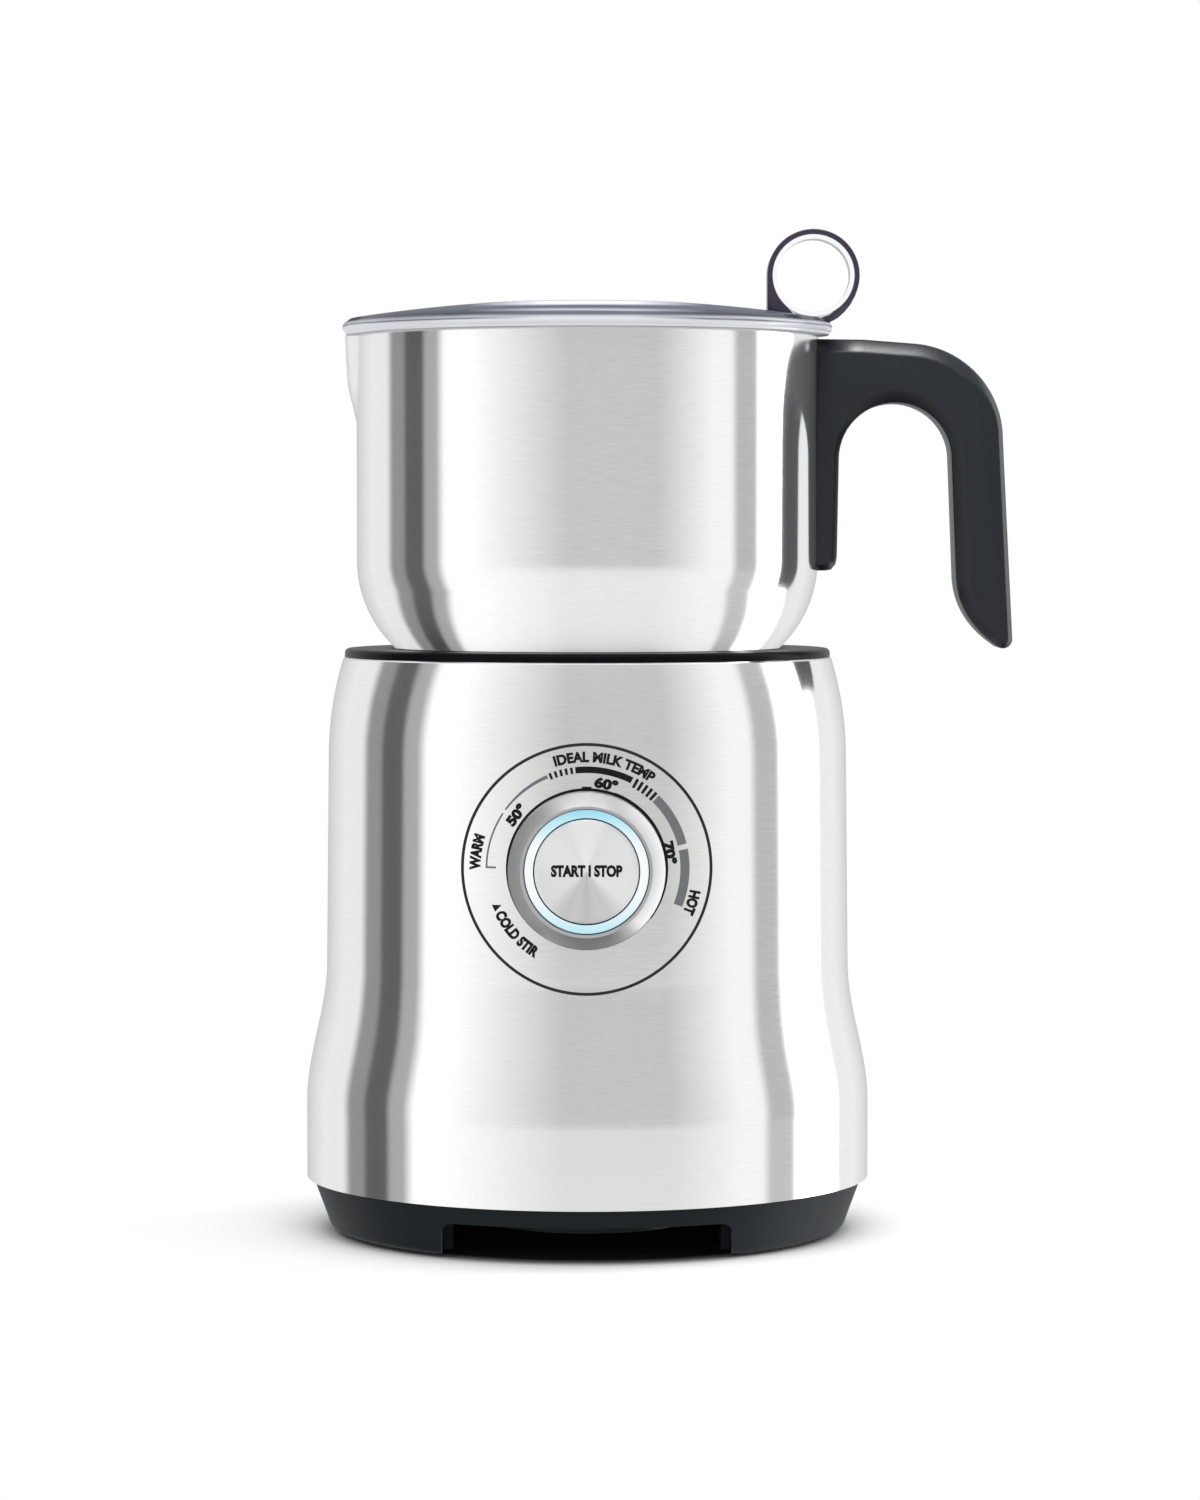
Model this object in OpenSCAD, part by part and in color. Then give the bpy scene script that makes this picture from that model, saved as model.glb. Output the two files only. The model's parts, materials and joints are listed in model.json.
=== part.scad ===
// Induction milk frother: a powered base with a dial, a lift-off steel jug with a
// magnetically driven stirring disc, and a clear lid with a finger ring.
// Millimetres. It stands on z = 0 with its axis on Z; the dial faces -Y and the
// handle points to +X. The origin is the centre of the face that the foot stands on.

/* [Casing] */
// Largest radius of the steel casing, low down
casing_r = 77.7; // [77:0.1:80]
// How far the casing narrows from its foot to its waist
waist_in = 5.6; // [4:0.1:6]
// How far the casing turns in at its shoulder
shoulder_in = 3.9; // [3:0.1:4.2]
// Height of the top edge of the casing
casing_top = 158.4; // [157.8:0.1:160]
// Thickness of the steel
steel_t = 1.2; // [1:0.1:1.4]

/* [Skirt and underside] */
// Height of the plastic skirt that the casing stands on
skirt_h = 15; // [14.8:0.1:15.5]
// Half width of the hand hole in the front of the skirt
notch_half = 38.6; // [30:0.1:40]
// Height of the top of the hand hole
notch_top = 10; // [8:0.1:10]
// Radius of the cord wrap under the base
wrap_r = 22; // [18:0.5:24]

/* [Dial] */
// Height of the dial's axis
dial_z = 104.4; // [104:0.1:105]
// Radius of the inset plate around the dial
plate_r = 32.4; // [31:0.1:33]
// Outer radius of the turning ring
knob_r = 20.6; // [20.3:0.1:20.8]
// Distance of the turning ring's front face from the Z axis
knob_front = 82; // [81:0.1:83]
// Radius of the push button
button_r = 13.7; // [13.5:0.05:13.8]
// Travel of the push button
button_travel = 1.2; // [0.8:0.1:1.2]

/* [Jug] */
// Outer radius of the jug's wall
jug_r = 63.6; // [63:0.1:64]
// Radius of the bend between the jug's wall and floor
jug_bend = 33; // [32:0.5:34]
// Radius of the jug's foot
jug_foot_r = 51; // [50.5:0.1:51.5]
// Height of the jug's rim
rim_z = 247; // [246:0.1:249]

/* [Handle] */
// Width of the handle along Y
handle_w = 21; // [19:0.5:24]
// Depth of the bevel along the handle's edges
handle_bevel = 2; // [1:0.25:3]

/* [Lid] */
// Outer radius of the lid
lid_r = 67.5; // [67.2:0.1:68.5]
// Height of the dome above the lid's rim
dome_h = 5.2; // [5:0.1:7]
// Radius of the hole in the finger ring
ring_hole = 10; // [9.8:0.1:10.4]
// Inner radius of the ring's dark cover
ring_in = 11.25; // [11:0.05:11.5]
// Outer radius of the ring's dark cover
ring_out = 12.7; // [12.6:0.05:13.2]
// Width of the finger ring along Y
ring_w = 9; // [7:0.5:11]

/* [Drive] */
// Radius of the motor's shaft
shaft_r = 2; // [1.5:0.1:2.2]
// Radius of the post that the stirring disc turns on
post_r = 2.5; // [2:0.1:2.8]
// Radial clearance of turning parts
running_gap = 0.05; // [0.03:0.01:0.08]

/* [Hidden] */
$fn = 96;

// Casing outline: a flared foot, a slightly leaning wall and a rounded shoulder
flare_lo = 36;
flare_hi = 74;
lean = 0.0105;
shoulder_lo = 132;

// Deck and jug seat
deck_top = casing_top + 2.4;
deck_r = casing_r - 10.7;
seat_z = casing_top - 4.4;
seat_r = jug_r - 9.4;
deck_under = seat_z - 2.2;
locator_r = 63;

// Stack under the seat, downwards
insulator_z = deck_under - 0.8;
coil_z = insulator_z - 4;
former_z = coil_z - 3;
ferrite_z = former_z - 4;
platform_top = 135;
platform_z = 132;
cover_z = 11;
cover_top = 13.5;
post_ring_r = 57;
post_angles = [45, 135, 225, 315];

// Temperature sensor, between the drive hub and the coil
sensor_y = -22.5;
sensor_r = 3.4;

// Motor, hanging under the platform
motor_top = 130.5;
motor_h = 34;
motor_r = 18;
motor_bore = shaft_r + running_gap;

// Control group: distances from the Z axis, along the dial's own axis
board_face = 53.6;
board_back = 52;
bush_end = 56;
ring_back = 62;
light_in = 14;
light_out = 16.2;
bush_out = 17.8;
lip_depth = 3.8;

// Power board
board_y = 30;
board_t = 1.6;

// Fan
fan_x = -38;
fan_size = 40;
fan_depth = 10.6;

// Jug inside
jug_in = jug_r - steel_t;
bend_z = seat_z + 31;
floor_z = seat_z + 4.2;
spout_axis = jug_r - 12.8;

// Lid
lid_z = rim_z;
rim_top = lid_z + 4.2;
collar_z = rim_top + 3.55;
cap_hole_r = 27.2;
loop_x = 62.2;
loop_z = lid_z + 16.3;

function arc(c, r, a0, a1, n) =
    [for (i = [0:n]) let (a = a0 + (a1 - a0) * i / n) [c[0] + r * cos(a), c[1] + r * sin(a)]];
function curve(a, pull, b, n) =
    [for (t = steps(0, 1, n)) pow(1 - t, 2) * a + 2 * t * (1 - t) * pull + t * t * b];
function limit(t) = min(1, max(0, t));
function ease(t) = t * t * (3 - 2 * t);
function steps(a, b, n) = [for (i = [0:n]) a + (b - a) * i / n];

// Outer radius of the casing at height z
function wall_r(z) = casing_r
    - waist_in * ease(limit((z - flare_lo) / (flare_hi - flare_lo)))
    - lean * max(0, z - flare_hi)
    - shoulder_in * pow(limit((z - shoulder_lo) / (casing_top - shoulder_lo)), 2);

// Top of the lid's dome at radius r
function dome_z(r) = rim_top + dome_h * (1 - pow(r / (lid_r - 2), 2));

module tube(ro, ri, h) {
    difference() {
        cylinder(r = ro, h = h);
        translate([0, 0, -1]) cylinder(r = ri, h = h + 2);
    }
}

// A tube drilled from z0 to z1 about the Z axis
module sleeve(ro, ri, z0, z1) {
    translate([0, 0, z0]) tube(ro, ri, z1 - z0);
}

module disc(r, z0, z1) {
    translate([0, 0, z0]) cylinder(r = r, h = z1 - z0);
}

// Puts local +Z along the dial's axis, pointing out of the front
module on_dial() {
    translate([0, 0, dial_z]) rotate([90, 0, 0]) children();
}

module at_posts() {
    for (a = post_angles) rotate([0, 0, a]) translate([post_ring_r, 0, 0]) children();
}

// A round wire wound about Z from height 0
module coil_spring(r, wire_r, h, turns) {
    sides = 8;
    per_turn = 16;
    n = turns * per_turn;
    rise = h - 2 * wire_r;
    points = [for (i = [0:n]) for (k = [0:sides - 1])
        let (a = 360 * i / per_turn, b = 360 * k / sides, d = r + wire_r * cos(b))
        [d * cos(a), d * sin(a), wire_r + rise * i / n + wire_r * sin(b)]];
    walls = [for (i = [0:n - 1]) for (k = [0:sides - 1])
        let (p = i * sides + k, q = i * sides + (k + 1) % sides)
        [p, p + sides, q + sides, q]];
    ends = [[for (k = [0:sides - 1]) k], [for (k = [0:sides - 1]) (n + 1) * sides - 1 - k]];
    polyhedron(points, concat(walls, ends), convexity = 6);
}

// The casing's outline turned solid, moved inwards by inset
module casing_solid(inset, z0, z1) {
    levels = concat([skirt_h, skirt_h + 2.5], steps(flare_lo, flare_hi, 12),
        steps(shoulder_lo, casing_top, 9));
    used = concat([z0], [for (z = levels) if (z > z0 + 0.1 && z < z1 - 0.1) z], [z1]);
    rotate_extrude()
        polygon(concat([[0, z0]], [for (z = used) [wall_r(z) - inset, z]], [[0, z1]]));
}

module casing_wall(outside, inside) {
    difference() {
        casing_solid(outside, skirt_h, casing_top);
        casing_solid(inside, skirt_h - 1, casing_top + 1);
    }
}

// ---- Casing and dial plate ----

module body_shell() {
    lip_r = locator_r + 1.2;
    color([0.78, 0.78, 0.77]) {
        difference() {
            casing_solid(0, skirt_h, casing_top);
            casing_solid(steel_t, skirt_h - 1, casing_top - steel_t);
            disc(lip_r, casing_top - 3, casing_top + 1);
            on_dial() disc(plate_r + 0.8, 45, 95);
        }
    }
}

module dial_plate() {
    color([0.8, 0.8, 0.79]) {
        intersection() {
            casing_wall(0, steel_t);
            on_dial() sleeve(plate_r, knob_r + 0.6, 45, 95);
        }
    }
}

module dial_gasket() {
    color([0.08, 0.08, 0.09]) {
        intersection() {
            casing_wall(0.3, steel_t);
            on_dial() sleeve(plate_r + 0.8, plate_r, 45, 95);
        }
        intersection() {
            casing_wall(steel_t, steel_t + 1.5);
            on_dial() sleeve(plate_r + 3.6, plate_r - 2.4, 45, 95);
        }
    }
}

// ---- Skirt, underside and foot ----

module notch_outline(half, top, corner) {
    polygon(concat([[-half, -1]], arc([corner - half, top - corner], corner, 180, 90, 5),
        arc([half - corner, top - corner], corner, 90, 0, 5), [[half, -1]]));
}

module base_skirt() {
    lip_r = casing_r - 0.8;
    wall_top_r = casing_r - 1.8;
    spigot_r = casing_r - steel_t - 1;
    outline = concat(
        [[61.5, 8], [61.5, 1], [69.2, 1]],
        arc([69.4, 3.2], 2.2, 270, 340, 4),
        [[wall_top_r, 14.4], [lip_r, 14.6], [lip_r, skirt_h], [spigot_r, skirt_h],
         [spigot_r, skirt_h + 7], [spigot_r - 2, skirt_h + 7], [spigot_r - 2, skirt_h - 2],
         [67.8, skirt_h - 2], [67.8, cover_z], [66, cover_z]]);
    color([0.18, 0.2, 0.21]) {
        difference() {
            rotate_extrude() polygon(outline);
            sleeve(67.1, 62.9, 0, 3);
            translate([0, -50, 0]) rotate([90, 0, 0])
                linear_extrude(height = 40) notch_outline(notch_half, notch_top, 3);
            translate([0, 90, 3.5]) rotate([90, 0, 0])
                linear_extrude(height = 40) notch_outline(5, 6, 2.5);
        }
    }
}

module bottom_cover() {
    flange_z = 1.8;
    color([0.15, 0.16, 0.17]) {
        difference() {
            union() {
                disc(67.6, cover_z, cover_top);
                disc(wrap_r, flange_z, cover_z);
                disc(wrap_r + 5, flange_z, flange_z + 2.2);
            }
            disc(wrap_r - 2.5, flange_z + 2.5, cover_top + 1);
            at_posts() disc(1.7, cover_z - 1, cover_top + 1);
            translate([0, 48, 0]) disc(6, cover_z - 1, cover_top + 1);
            for (side = [-1, 1]) {
                for (i = [-3:3]) {
                    translate([side * 39 - 13, i * 5 - 1.5, cover_z - 1]) cube([26, 3, 5]);
                }
            }
        }
    }
}

module foot_ring() {
    color([0.1, 0.1, 0.1]) {
        rotate([0, 0, -52])
            rotate_extrude(angle = 284) polygon([[63, 0], [67, 0], [67, 3], [63, 3]]);
    }
}

module cord_gland() {
    color([0.12, 0.12, 0.13]) {
        translate([0, 48, 0]) {
            difference() {
                union() {
                    disc(8.5, cover_z - 1.5, cover_z);
                    disc(6, cover_z, 19);
                    translate([0, 0, cover_top]) cylinder(r = 9, h = 3, $fn = 6);
                }
                disc(3.6, cover_z - 3, 21);
            }
        }
    }
}

module tie_screws() {
    tip_z = deck_under + 4.7;
    color([0.6, 0.6, 0.62]) {
        at_posts() {
            disc(1.5, cover_z - 0.01, tip_z);
            difference() {
                disc(3.2, cover_z - 2.4, cover_z);
                translate([-2, -0.4, cover_z - 3]) cube([4, 0.8, 1.6]);
                translate([-0.4, -2, cover_z - 3]) cube([0.8, 4, 1.6]);
            }
        }
    }
}

// ---- Deck ----

module top_deck() {
    edge = 1.2;
    outline = concat(
        [[0, deck_under], [61, deck_under], [61, casing_top - 10], [locator_r, casing_top - 10],
         [locator_r, casing_top], [deck_r, casing_top]],
        arc([deck_r - edge, deck_top - edge], edge, 0, 90, 4),
        arc([seat_r + 1.5, deck_top - 1.5], 1.5, 90, 180, 4),
        [[seat_r, seat_z], [0, seat_z]]);
    color([0.07, 0.07, 0.08]) {
        difference() {
            rotate_extrude() polygon(outline);
            translate([0, sensor_y, 0]) disc(sensor_r + 0.3, deck_under - 1, seat_z + 1);
            at_posts() disc(1.55, deck_under - 1, deck_under + 5);
        }
    }
}

module deck_seal() {
    color([0.25, 0.25, 0.26])
        sleeve(locator_r + 1.2, locator_r, casing_top - steel_t, casing_top);
}

// ---- Inner frame and heating stack ----

module inner_frame() {
    rail_x = 35;
    color([0.55, 0.56, 0.58]) {
        difference() {
            union() {
                disc(60, platform_z, platform_top);
                at_posts() disc(3.8, cover_top, deck_under);
                for (side = [-1, 1]) {
                    translate([side * (rail_x + 1.75) - 1.75, board_y - 2, 20])
                        cube([3.5, 5.6, platform_z - 20]);
                }
            }
            disc(14, platform_z - 1, platform_top + 1);
            at_posts() disc(1.7, cover_top - 1, deck_under + 1);
            translate([-36, board_y, 24]) cube([72, board_t, platform_z - 24]);
        }
    }
}

module coil_insulator() {
    color([0.85, 0.82, 0.72]) {
        difference() {
            disc(50, insulator_z, deck_under);
            translate([0, sensor_y, 0]) disc(sensor_r + 0.2, insulator_z - 1, deck_under + 1);
        }
    }
}

module induction_coil() {
    color([0.72, 0.4, 0.2]) {
        difference() {
            sleeve(47, 29, coil_z, insulator_z);
            for (i = [1:5]) sleeve(29.3 + i * 3, 28.7 + i * 3, insulator_z - 0.8, insulator_z + 1);
        }
    }
}

module coil_former() {
    color([0.9, 0.88, 0.82]) {
        difference() {
            union() {
                disc(49.5, former_z, coil_z);
                sleeve(49.5, 47.2, coil_z, insulator_z);
                for (a = [30, 150, 270]) {
                    rotate([0, 0, a]) translate([34, 0, 0]) disc(3.5, platform_top, former_z + 1);
                }
            }
            disc(16, former_z - 1, coil_z + 1);
            translate([0, sensor_y, 0]) disc(5.2, former_z - 1, coil_z + 1);
        }
    }
}

module ferrite_bars() {
    color([0.2, 0.2, 0.22]) {
        for (i = [0:5]) {
            rotate([0, 0, i * 60]) translate([20, -4, ferrite_z]) cube([28, 8, 4]);
        }
    }
}

module sensor_guide() {
    color([0.8, 0.8, 0.78]) {
        translate([0, sensor_y, 0]) {
            difference() {
                disc(5.2, 138, insulator_z);
                disc(4.4, 139.5, insulator_z + 1);
                disc(1.2, 137, 141);
            }
        }
    }
}

module sensor_plunger() {
    shoulder_z = insulator_z - 1.4;
    color([0.75, 0.75, 0.76]) {
        translate([0, sensor_y, 0]) {
            disc(sensor_r, shoulder_z, seat_z + 0.95);
            disc(4.3, shoulder_z, insulator_z - 0.1);
        }
    }
}

module sensor_spring() {
    color([0.7, 0.7, 0.7])
        translate([0, sensor_y, 139.5]) coil_spring(2.9, 0.3, insulator_z - 1.4 - 139.5, 5);
}

// ---- Motor ----

module motor_screw_places() {
    for (side = [-1, 1]) translate([side * 9.5, 0, 0]) children();
}

module motor_bracket() {
    color([0.7, 0.7, 0.71]) {
        difference() {
            disc(24, motor_top, platform_z);
            disc(6, motor_top - 1, platform_z + 1);
            motor_screw_places() disc(1.35, motor_top - 1, platform_z + 1);
        }
    }
}

module motor_screws() {
    color([0.6, 0.6, 0.62]) {
        motor_screw_places() {
            disc(1.25, motor_top - 1.5, platform_z);
            disc(2.4, platform_z, platform_z + 1.6);
        }
    }
}

module motor_can() {
    low = motor_top - motor_h;
    color([0.62, 0.63, 0.65]) {
        difference() {
            disc(motor_r, low + 2, motor_top);
            disc(motor_r - 1.2, low + 1, motor_top - 1.5);
            disc(4.5, motor_top - 3, motor_top + 1);
            motor_screw_places() disc(1.3, motor_top - 3, motor_top + 1);
        }
    }
}

module motor_end_cap() {
    low = motor_top - motor_h;
    color([0.15, 0.15, 0.16]) {
        difference() {
            union() {
                disc(motor_r, low, low + 2);
                disc(motor_r - 1.2, low + 2, low + 5);
            }
            disc(4.5, low - 1, low + 6);
        }
    }
}

module motor_bearings() {
    low = motor_top - motor_h;
    color([0.72, 0.6, 0.35]) {
        sleeve(4.5, motor_bore, motor_top - 4.5, motor_top);
        sleeve(4.5, motor_bore, low, low + 5);
    }
}

module field_magnets() {
    color([0.22, 0.22, 0.24]) {
        for (a = [-60, 120]) {
            rotate([0, 0, a]) rotate_extrude(angle = 120)
                polygon([[14.6, 102], [motor_r - 1.2, 102], [motor_r - 1.2, 126], [14.6, 126]]);
        }
    }
}

module motor_shaft() {
    color([0.7, 0.7, 0.72]) disc(shaft_r, 94, 146);
}

module armature() {
    color([0.5, 0.32, 0.18]) {
        difference() {
            disc(13.8, 104, 124);
            disc(shaft_r, 103, 125);
            for (a = [0, 120, 240]) {
                rotate([0, 0, a]) translate([9, -2, 103]) cube([8, 4, 22]);
            }
        }
    }
}

module drive_hub() {
    color([0.85, 0.85, 0.83]) {
        difference() {
            union() {
                disc(5, 137, 142);
                disc(15, 141, 149.5);
            }
            disc(shaft_r, 136, 146);
            for (a = [0:90:270]) rotate([0, 0, a]) translate([9.5, 0, 0]) disc(4, 146, 151);
        }
    }
}

module drive_magnets() {
    color([0.6, 0.6, 0.62]) {
        for (a = [0:90:270]) rotate([0, 0, a]) translate([9.5, 0, 0]) disc(4, 146, 149.5);
    }
}

// ---- Fan ----

module fan_housing() {
    half = fan_size / 2;
    color([0.12, 0.12, 0.13]) {
        translate([fan_x, 0, cover_top]) {
            difference() {
                translate([-half, -half, 0]) cube([fan_size, fan_size, fan_depth]);
                disc(18.5, -1, fan_depth + 1);
                for (x = [-1, 1], y = [-1, 1]) {
                    translate([x * 16.5, y * 16.5, 0]) disc(1.7, -1, fan_depth + 1);
                }
            }
            disc(8, 0, 2);
            disc(1.5, 1, 8);
            for (a = [45:90:315]) rotate([0, 0, a]) translate([7, -1, 0]) cube([12, 2, 2]);
        }
    }
}

module fan_rotor() {
    blades = 7;
    color([0.16, 0.16, 0.17]) {
        translate([fan_x, 0, cover_top]) {
            difference() {
                union() {
                    disc(8.5, 3, 10);
                    intersection() {
                        sleeve(17.7, 8, 3, 10);
                        for (i = [0:blades - 1]) {
                            rotate([0, 0, i * 360 / blades]) translate([0, 0, 6.5])
                                rotate([38, 0, 0]) translate([7, -4.5, -0.6]) cube([14, 9, 1.2]);
                        }
                    }
                }
                disc(1.5 + running_gap, 2, 9);
            }
        }
    }
}

// ---- Electronics ----

module power_board() {
    color([0.1, 0.35, 0.2])
        translate([-36, board_y, 24]) cube([72, board_t, platform_z - 24]);
}

module power_components() {
    y = board_y + board_t;
    color([0.2, 0.2, 0.45]) {
        translate([-20, y, 50]) rotate([-90, 0, 0]) cylinder(r = 8, h = 22);
        translate([2, y, 46]) rotate([-90, 0, 0]) cylinder(r = 6, h = 18);
    }
    color([0.85, 0.7, 0.2]) {
        translate([-28, y, 72]) cube([14, 12, 22]);
        translate([18, y, 38]) cube([14, 14, 24]);
    }
}

module heat_sink() {
    y = board_y + board_t;
    color([0.75, 0.75, 0.77]) {
        translate([-8, y, 78]) cube([32, 3, 40]);
        for (i = [0:6]) translate([-8 + i * 5, y + 2, 78]) cube([2, 16, 40]);
    }
}

module control_mount() {
    color([0.55, 0.56, 0.58]) {
        translate([-26, -50, 70]) cube([52, 3, platform_z - 70]);
        on_dial() {
            for (x = [-1, 1], y = [-1, 1]) translate([x * 22, y * 18, 0]) disc(2.5, 49, board_back);
        }
    }
}

module control_board() {
    color([0.1, 0.35, 0.2])
        translate([-28, -board_face, dial_z - 25]) cube([56, board_face - board_back, 50]);
}

module tact_switch() {
    color([0.3, 0.3, 0.32]) {
        on_dial() {
            translate([-3, -3, board_face]) cube([6, 6, 2.6]);
            disc(1.2, board_face + 2.6, board_face + 3.1);
        }
    }
}

module encoder_sensor() {
    color([0.1, 0.1, 0.11]) on_dial() translate([-2, 22.5, board_face]) cube([4, 4, 5.6]);
}

module ring_leds() {
    color([0.9, 0.95, 1]) {
        on_dial() {
            for (a = [22.5:45:350]) {
                rotate([0, 0, a]) translate([14, -1, board_face]) cube([2.2, 2, 1.2]);
            }
        }
    }
}

module light_ring() {
    color([0.55, 0.85, 0.95]) {
        on_dial() {
            difference() {
                disc(light_out, 58.5, knob_front - 1.4);
                disc(light_in, 60, knob_front);
                disc(3.58, 57, 61);
            }
        }
    }
}

module knob_bush() {
    color([0.85, 0.85, 0.82]) {
        on_dial() {
            sleeve(bush_out, light_out, bush_end, 77.5);
            sleeve(21, light_out, bush_end, bush_end + 2);
            for (a = [45:90:315]) rotate([0, 0, a]) translate([19, 0, 0]) disc(1.5, board_face, bush_end);
        }
    }
}

// ---- Turning ring and button ----

module dial_knob() {
    bore = bush_out + running_gap;
    front = knob_front;
    outline = [[bore, ring_back], [knob_r, ring_back], [knob_r, front - 4.2], [17, front],
        [16.5, front], [16.5, front - lip_depth], [bore, front - lip_depth]];
    color([0.82, 0.82, 0.83]) {
        on_dial() {
            difference() {
                rotate_extrude() polygon(outline);
                translate([-0.35, 18.9, front - 2.25]) rotate([-49, 0, 0]) translate([0, -2.2, 0])
                    cube([0.7, 4.4, 2]);
            }
        }
    }
}

module code_ring() {
    slots = 20;
    color([0.1, 0.1, 0.11]) {
        on_dial() {
            difference() {
                sleeve(24.5, bush_out + 0.15, ring_back - 2, ring_back);
                for (i = [0:slots - 1]) {
                    rotate([0, 0, i * 360 / slots]) translate([22.8, -1, ring_back - 3]) cube([3, 2, 4]);
                }
            }
        }
    }
}

module start_button() {
    front = knob_front - 1.6;
    outline = [[0, front - 4], [button_r, front - 4], [button_r, front - 0.5], [button_r - 0.5, front],
        [button_r - 1, front], [0, front - 0.6]];
    color([0.8, 0.8, 0.81]) {
        on_dial() {
            rotate_extrude() polygon(outline);
            disc(3.5, board_face + 3.2 + button_travel, front - 3.9);
        }
    }
}

module button_spring() {
    front = knob_front - 1.6;
    color([0.7, 0.7, 0.7]) on_dial() translate([0, 0, 60]) coil_spring(6, 0.4, front - 64, 5);
}

// ---- Jug ----

module jug_solid(r, bend, z0, z1, foot) {
    low = acos((foot - (r - bend)) / bend);
    rotate_extrude() polygon(concat([[0, z0]], arc([r - bend, bend_z], bend, -low, 0, 12),
        [[r, z1], [0, z1]]));
}

// The pouring lip: a flared cone that swells out of the jug's wall
module spout_solid(inset, z1) {
    outline = [[0, rim_z - 23], [12.8 - inset, rim_z - 22.3], [13.6 - inset, rim_z - 20],
        [14.6 - inset, rim_z - 17], [15.3 - inset, rim_z - 13.5], [15.7 - inset, rim_z - 7],
        [16 - inset, z1], [0, z1]];
    translate([-spout_axis, 0, 0]) rotate_extrude() polygon(outline);
}

module jug_body() {
    waist_z = bend_z - sqrt(pow(jug_bend, 2) - pow(52.7 - (jug_r - jug_bend), 2));
    color([0.8, 0.8, 0.79]) {
        difference() {
            union() {
                jug_solid(jug_r, jug_bend, waist_z, rim_z, 52.7);
                disc(jug_foot_r, seat_z, waist_z);
                spout_solid(0, rim_z);
            }
            jug_solid(jug_in, jug_bend - steel_t, floor_z, rim_z + 1,
                jug_in - jug_bend + steel_t + sqrt(pow(jug_bend - steel_t, 2)
                - pow(bend_z - floor_z, 2)));
            spout_solid(steel_t, rim_z + 1);
            disc(49, seat_z - 1, seat_z + 3);
        }
    }
}

module jug_base_plate() {
    color([0.5, 0.5, 0.52]) disc(48.8, seat_z + 1, seat_z + 3);
}

module whisk_post() {
    color([0.75, 0.75, 0.76]) {
        disc(7, floor_z, floor_z + 0.8);
        disc(post_r, floor_z, floor_z + 11);
        translate([0, 0, floor_z + 11]) cylinder(r1 = post_r, r2 = 1.2, h = 1);
    }
}

module handle_bracket() {
    color([0.7, 0.7, 0.71]) {
        difference() {
            translate([58, -7, 188]) cube([7.6, 14, 52]);
            translate([0, 0, 180]) cylinder(r = jug_r, h = 65, $fn = 360);
            for (z = [197, 211]) translate([60, 0, z]) rotate([0, 90, 0]) cylinder(r = 1.6, h = 8);
        }
    }
}

// Side view of the handle, X across and Z up
function handle_outline() = concat(
    [[60, 182.2], [60, rim_z - 1.3], [76, rim_z - 1.5]],
    arc([87.8, rim_z - 28.8], 26.3, 90, 0, 9),
    arc([114.3, 163.4], 2.6, 10, -123, 6),
    curve([112.8, 161.3], [102, 168.5], [101.2, 180], 6),
    arc([84.5, 212.8], 15.4, 0, 180, 14),
    [[68.6, 186], [68.2, 184], [67, 182.5], [65.5, 182.2]]);

module handle_slab(width, inset) {
    translate([0, width / 2, 0]) rotate([90, 0, 0]) linear_extrude(height = width)
        offset(delta = -inset) polygon(handle_outline());
}

module jug_handle() {
    color([0.18, 0.2, 0.21]) {
        difference() {
            union() {
                handle_slab(handle_w - 2 * handle_bevel, 0);
                handle_slab(handle_w - handle_bevel, handle_bevel / 4);
                handle_slab(handle_w, handle_bevel);
            }
            disc(jug_r, 175, 255);
            translate([60, -7.1, 187.9]) cube([5.6, 14.2, 52.2]);
            for (z = [197, 211]) {
                translate([60, 0, z]) rotate([0, 90, 0]) cylinder(r = 1.7, h = 12);
                translate([66.6, 0, z]) rotate([0, 90, 0]) cylinder(r = 2.9, h = 12);
            }
        }
    }
}

module handle_screws() {
    color([0.6, 0.6, 0.62]) {
        for (z = [197, 211]) {
            translate([64, 0, z]) rotate([0, 90, 0]) cylinder(r = 1.5, h = 2.6);
            translate([66.6, 0, z]) rotate([0, 90, 0]) cylinder(r = 2.7, h = 1.6);
        }
    }
}

// ---- Stirring disc ----

module frothing_disc() {
    low = floor_z + 2;
    ring_z = low + 6;
    color([0.2, 0.2, 0.22]) {
        difference() {
            union() {
                disc(15, low, low + 5);
                disc(6, low, low + 14);
                disc(25, low + 5, low + 6.5);
            }
            disc(post_r + running_gap, low - 1, low + 11.5);
            for (a = [0:90:270]) rotate([0, 0, a]) translate([9.5, 0, 0]) disc(3.6, low - 1, low + 3.6);
            for (a = [0:30:330]) {
                rotate([0, 0, a]) translate([17, -1.6, low + 4]) cube([5.6, 3.2, 4]);
            }
        }
        translate([0, 0, ring_z]) rotate_extrude() translate([25.4, 0]) circle(r = 1.8, $fn = 32);
    }
}

module disc_magnets() {
    low = floor_z + 2;
    color([0.6, 0.6, 0.62]) {
        for (a = [0:90:270]) rotate([0, 0, a]) translate([9.5, 0, 0]) disc(3.6, low, low + 3.6);
    }
}

// ---- Lid ----

// The lid's dome and rim, filled down to its plug
module lid_outside() {
    rotate_extrude() polygon(concat(
        [[0, lid_z], [lid_r - 0.9, lid_z]],
        arc([lid_r - 1.6, lid_z + 1.9], 1.6, -60, 60, 6),
        [[lid_r - 2, rim_top]],
        [for (r = [60, 52, 44, 36]) [r, dome_z(r)]],
        [[34.4, collar_z], [0, collar_z]]));
}

// The clear loop's foot, side view, from the loop's left side to the lid's rim
module loop_foot() {
    left = loop_x - ring_out;
    polygon([[left, lid_z + 3], [left, lid_z + 6.7], [loop_x - 5.3, lid_z + 5.5], [loop_x, loop_z],
        [loop_x + 0.8, lid_z + 4.3], [loop_x + 4.3, lid_z + 3.6], [loop_x + 4.3, lid_z + 3]]);
}

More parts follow.
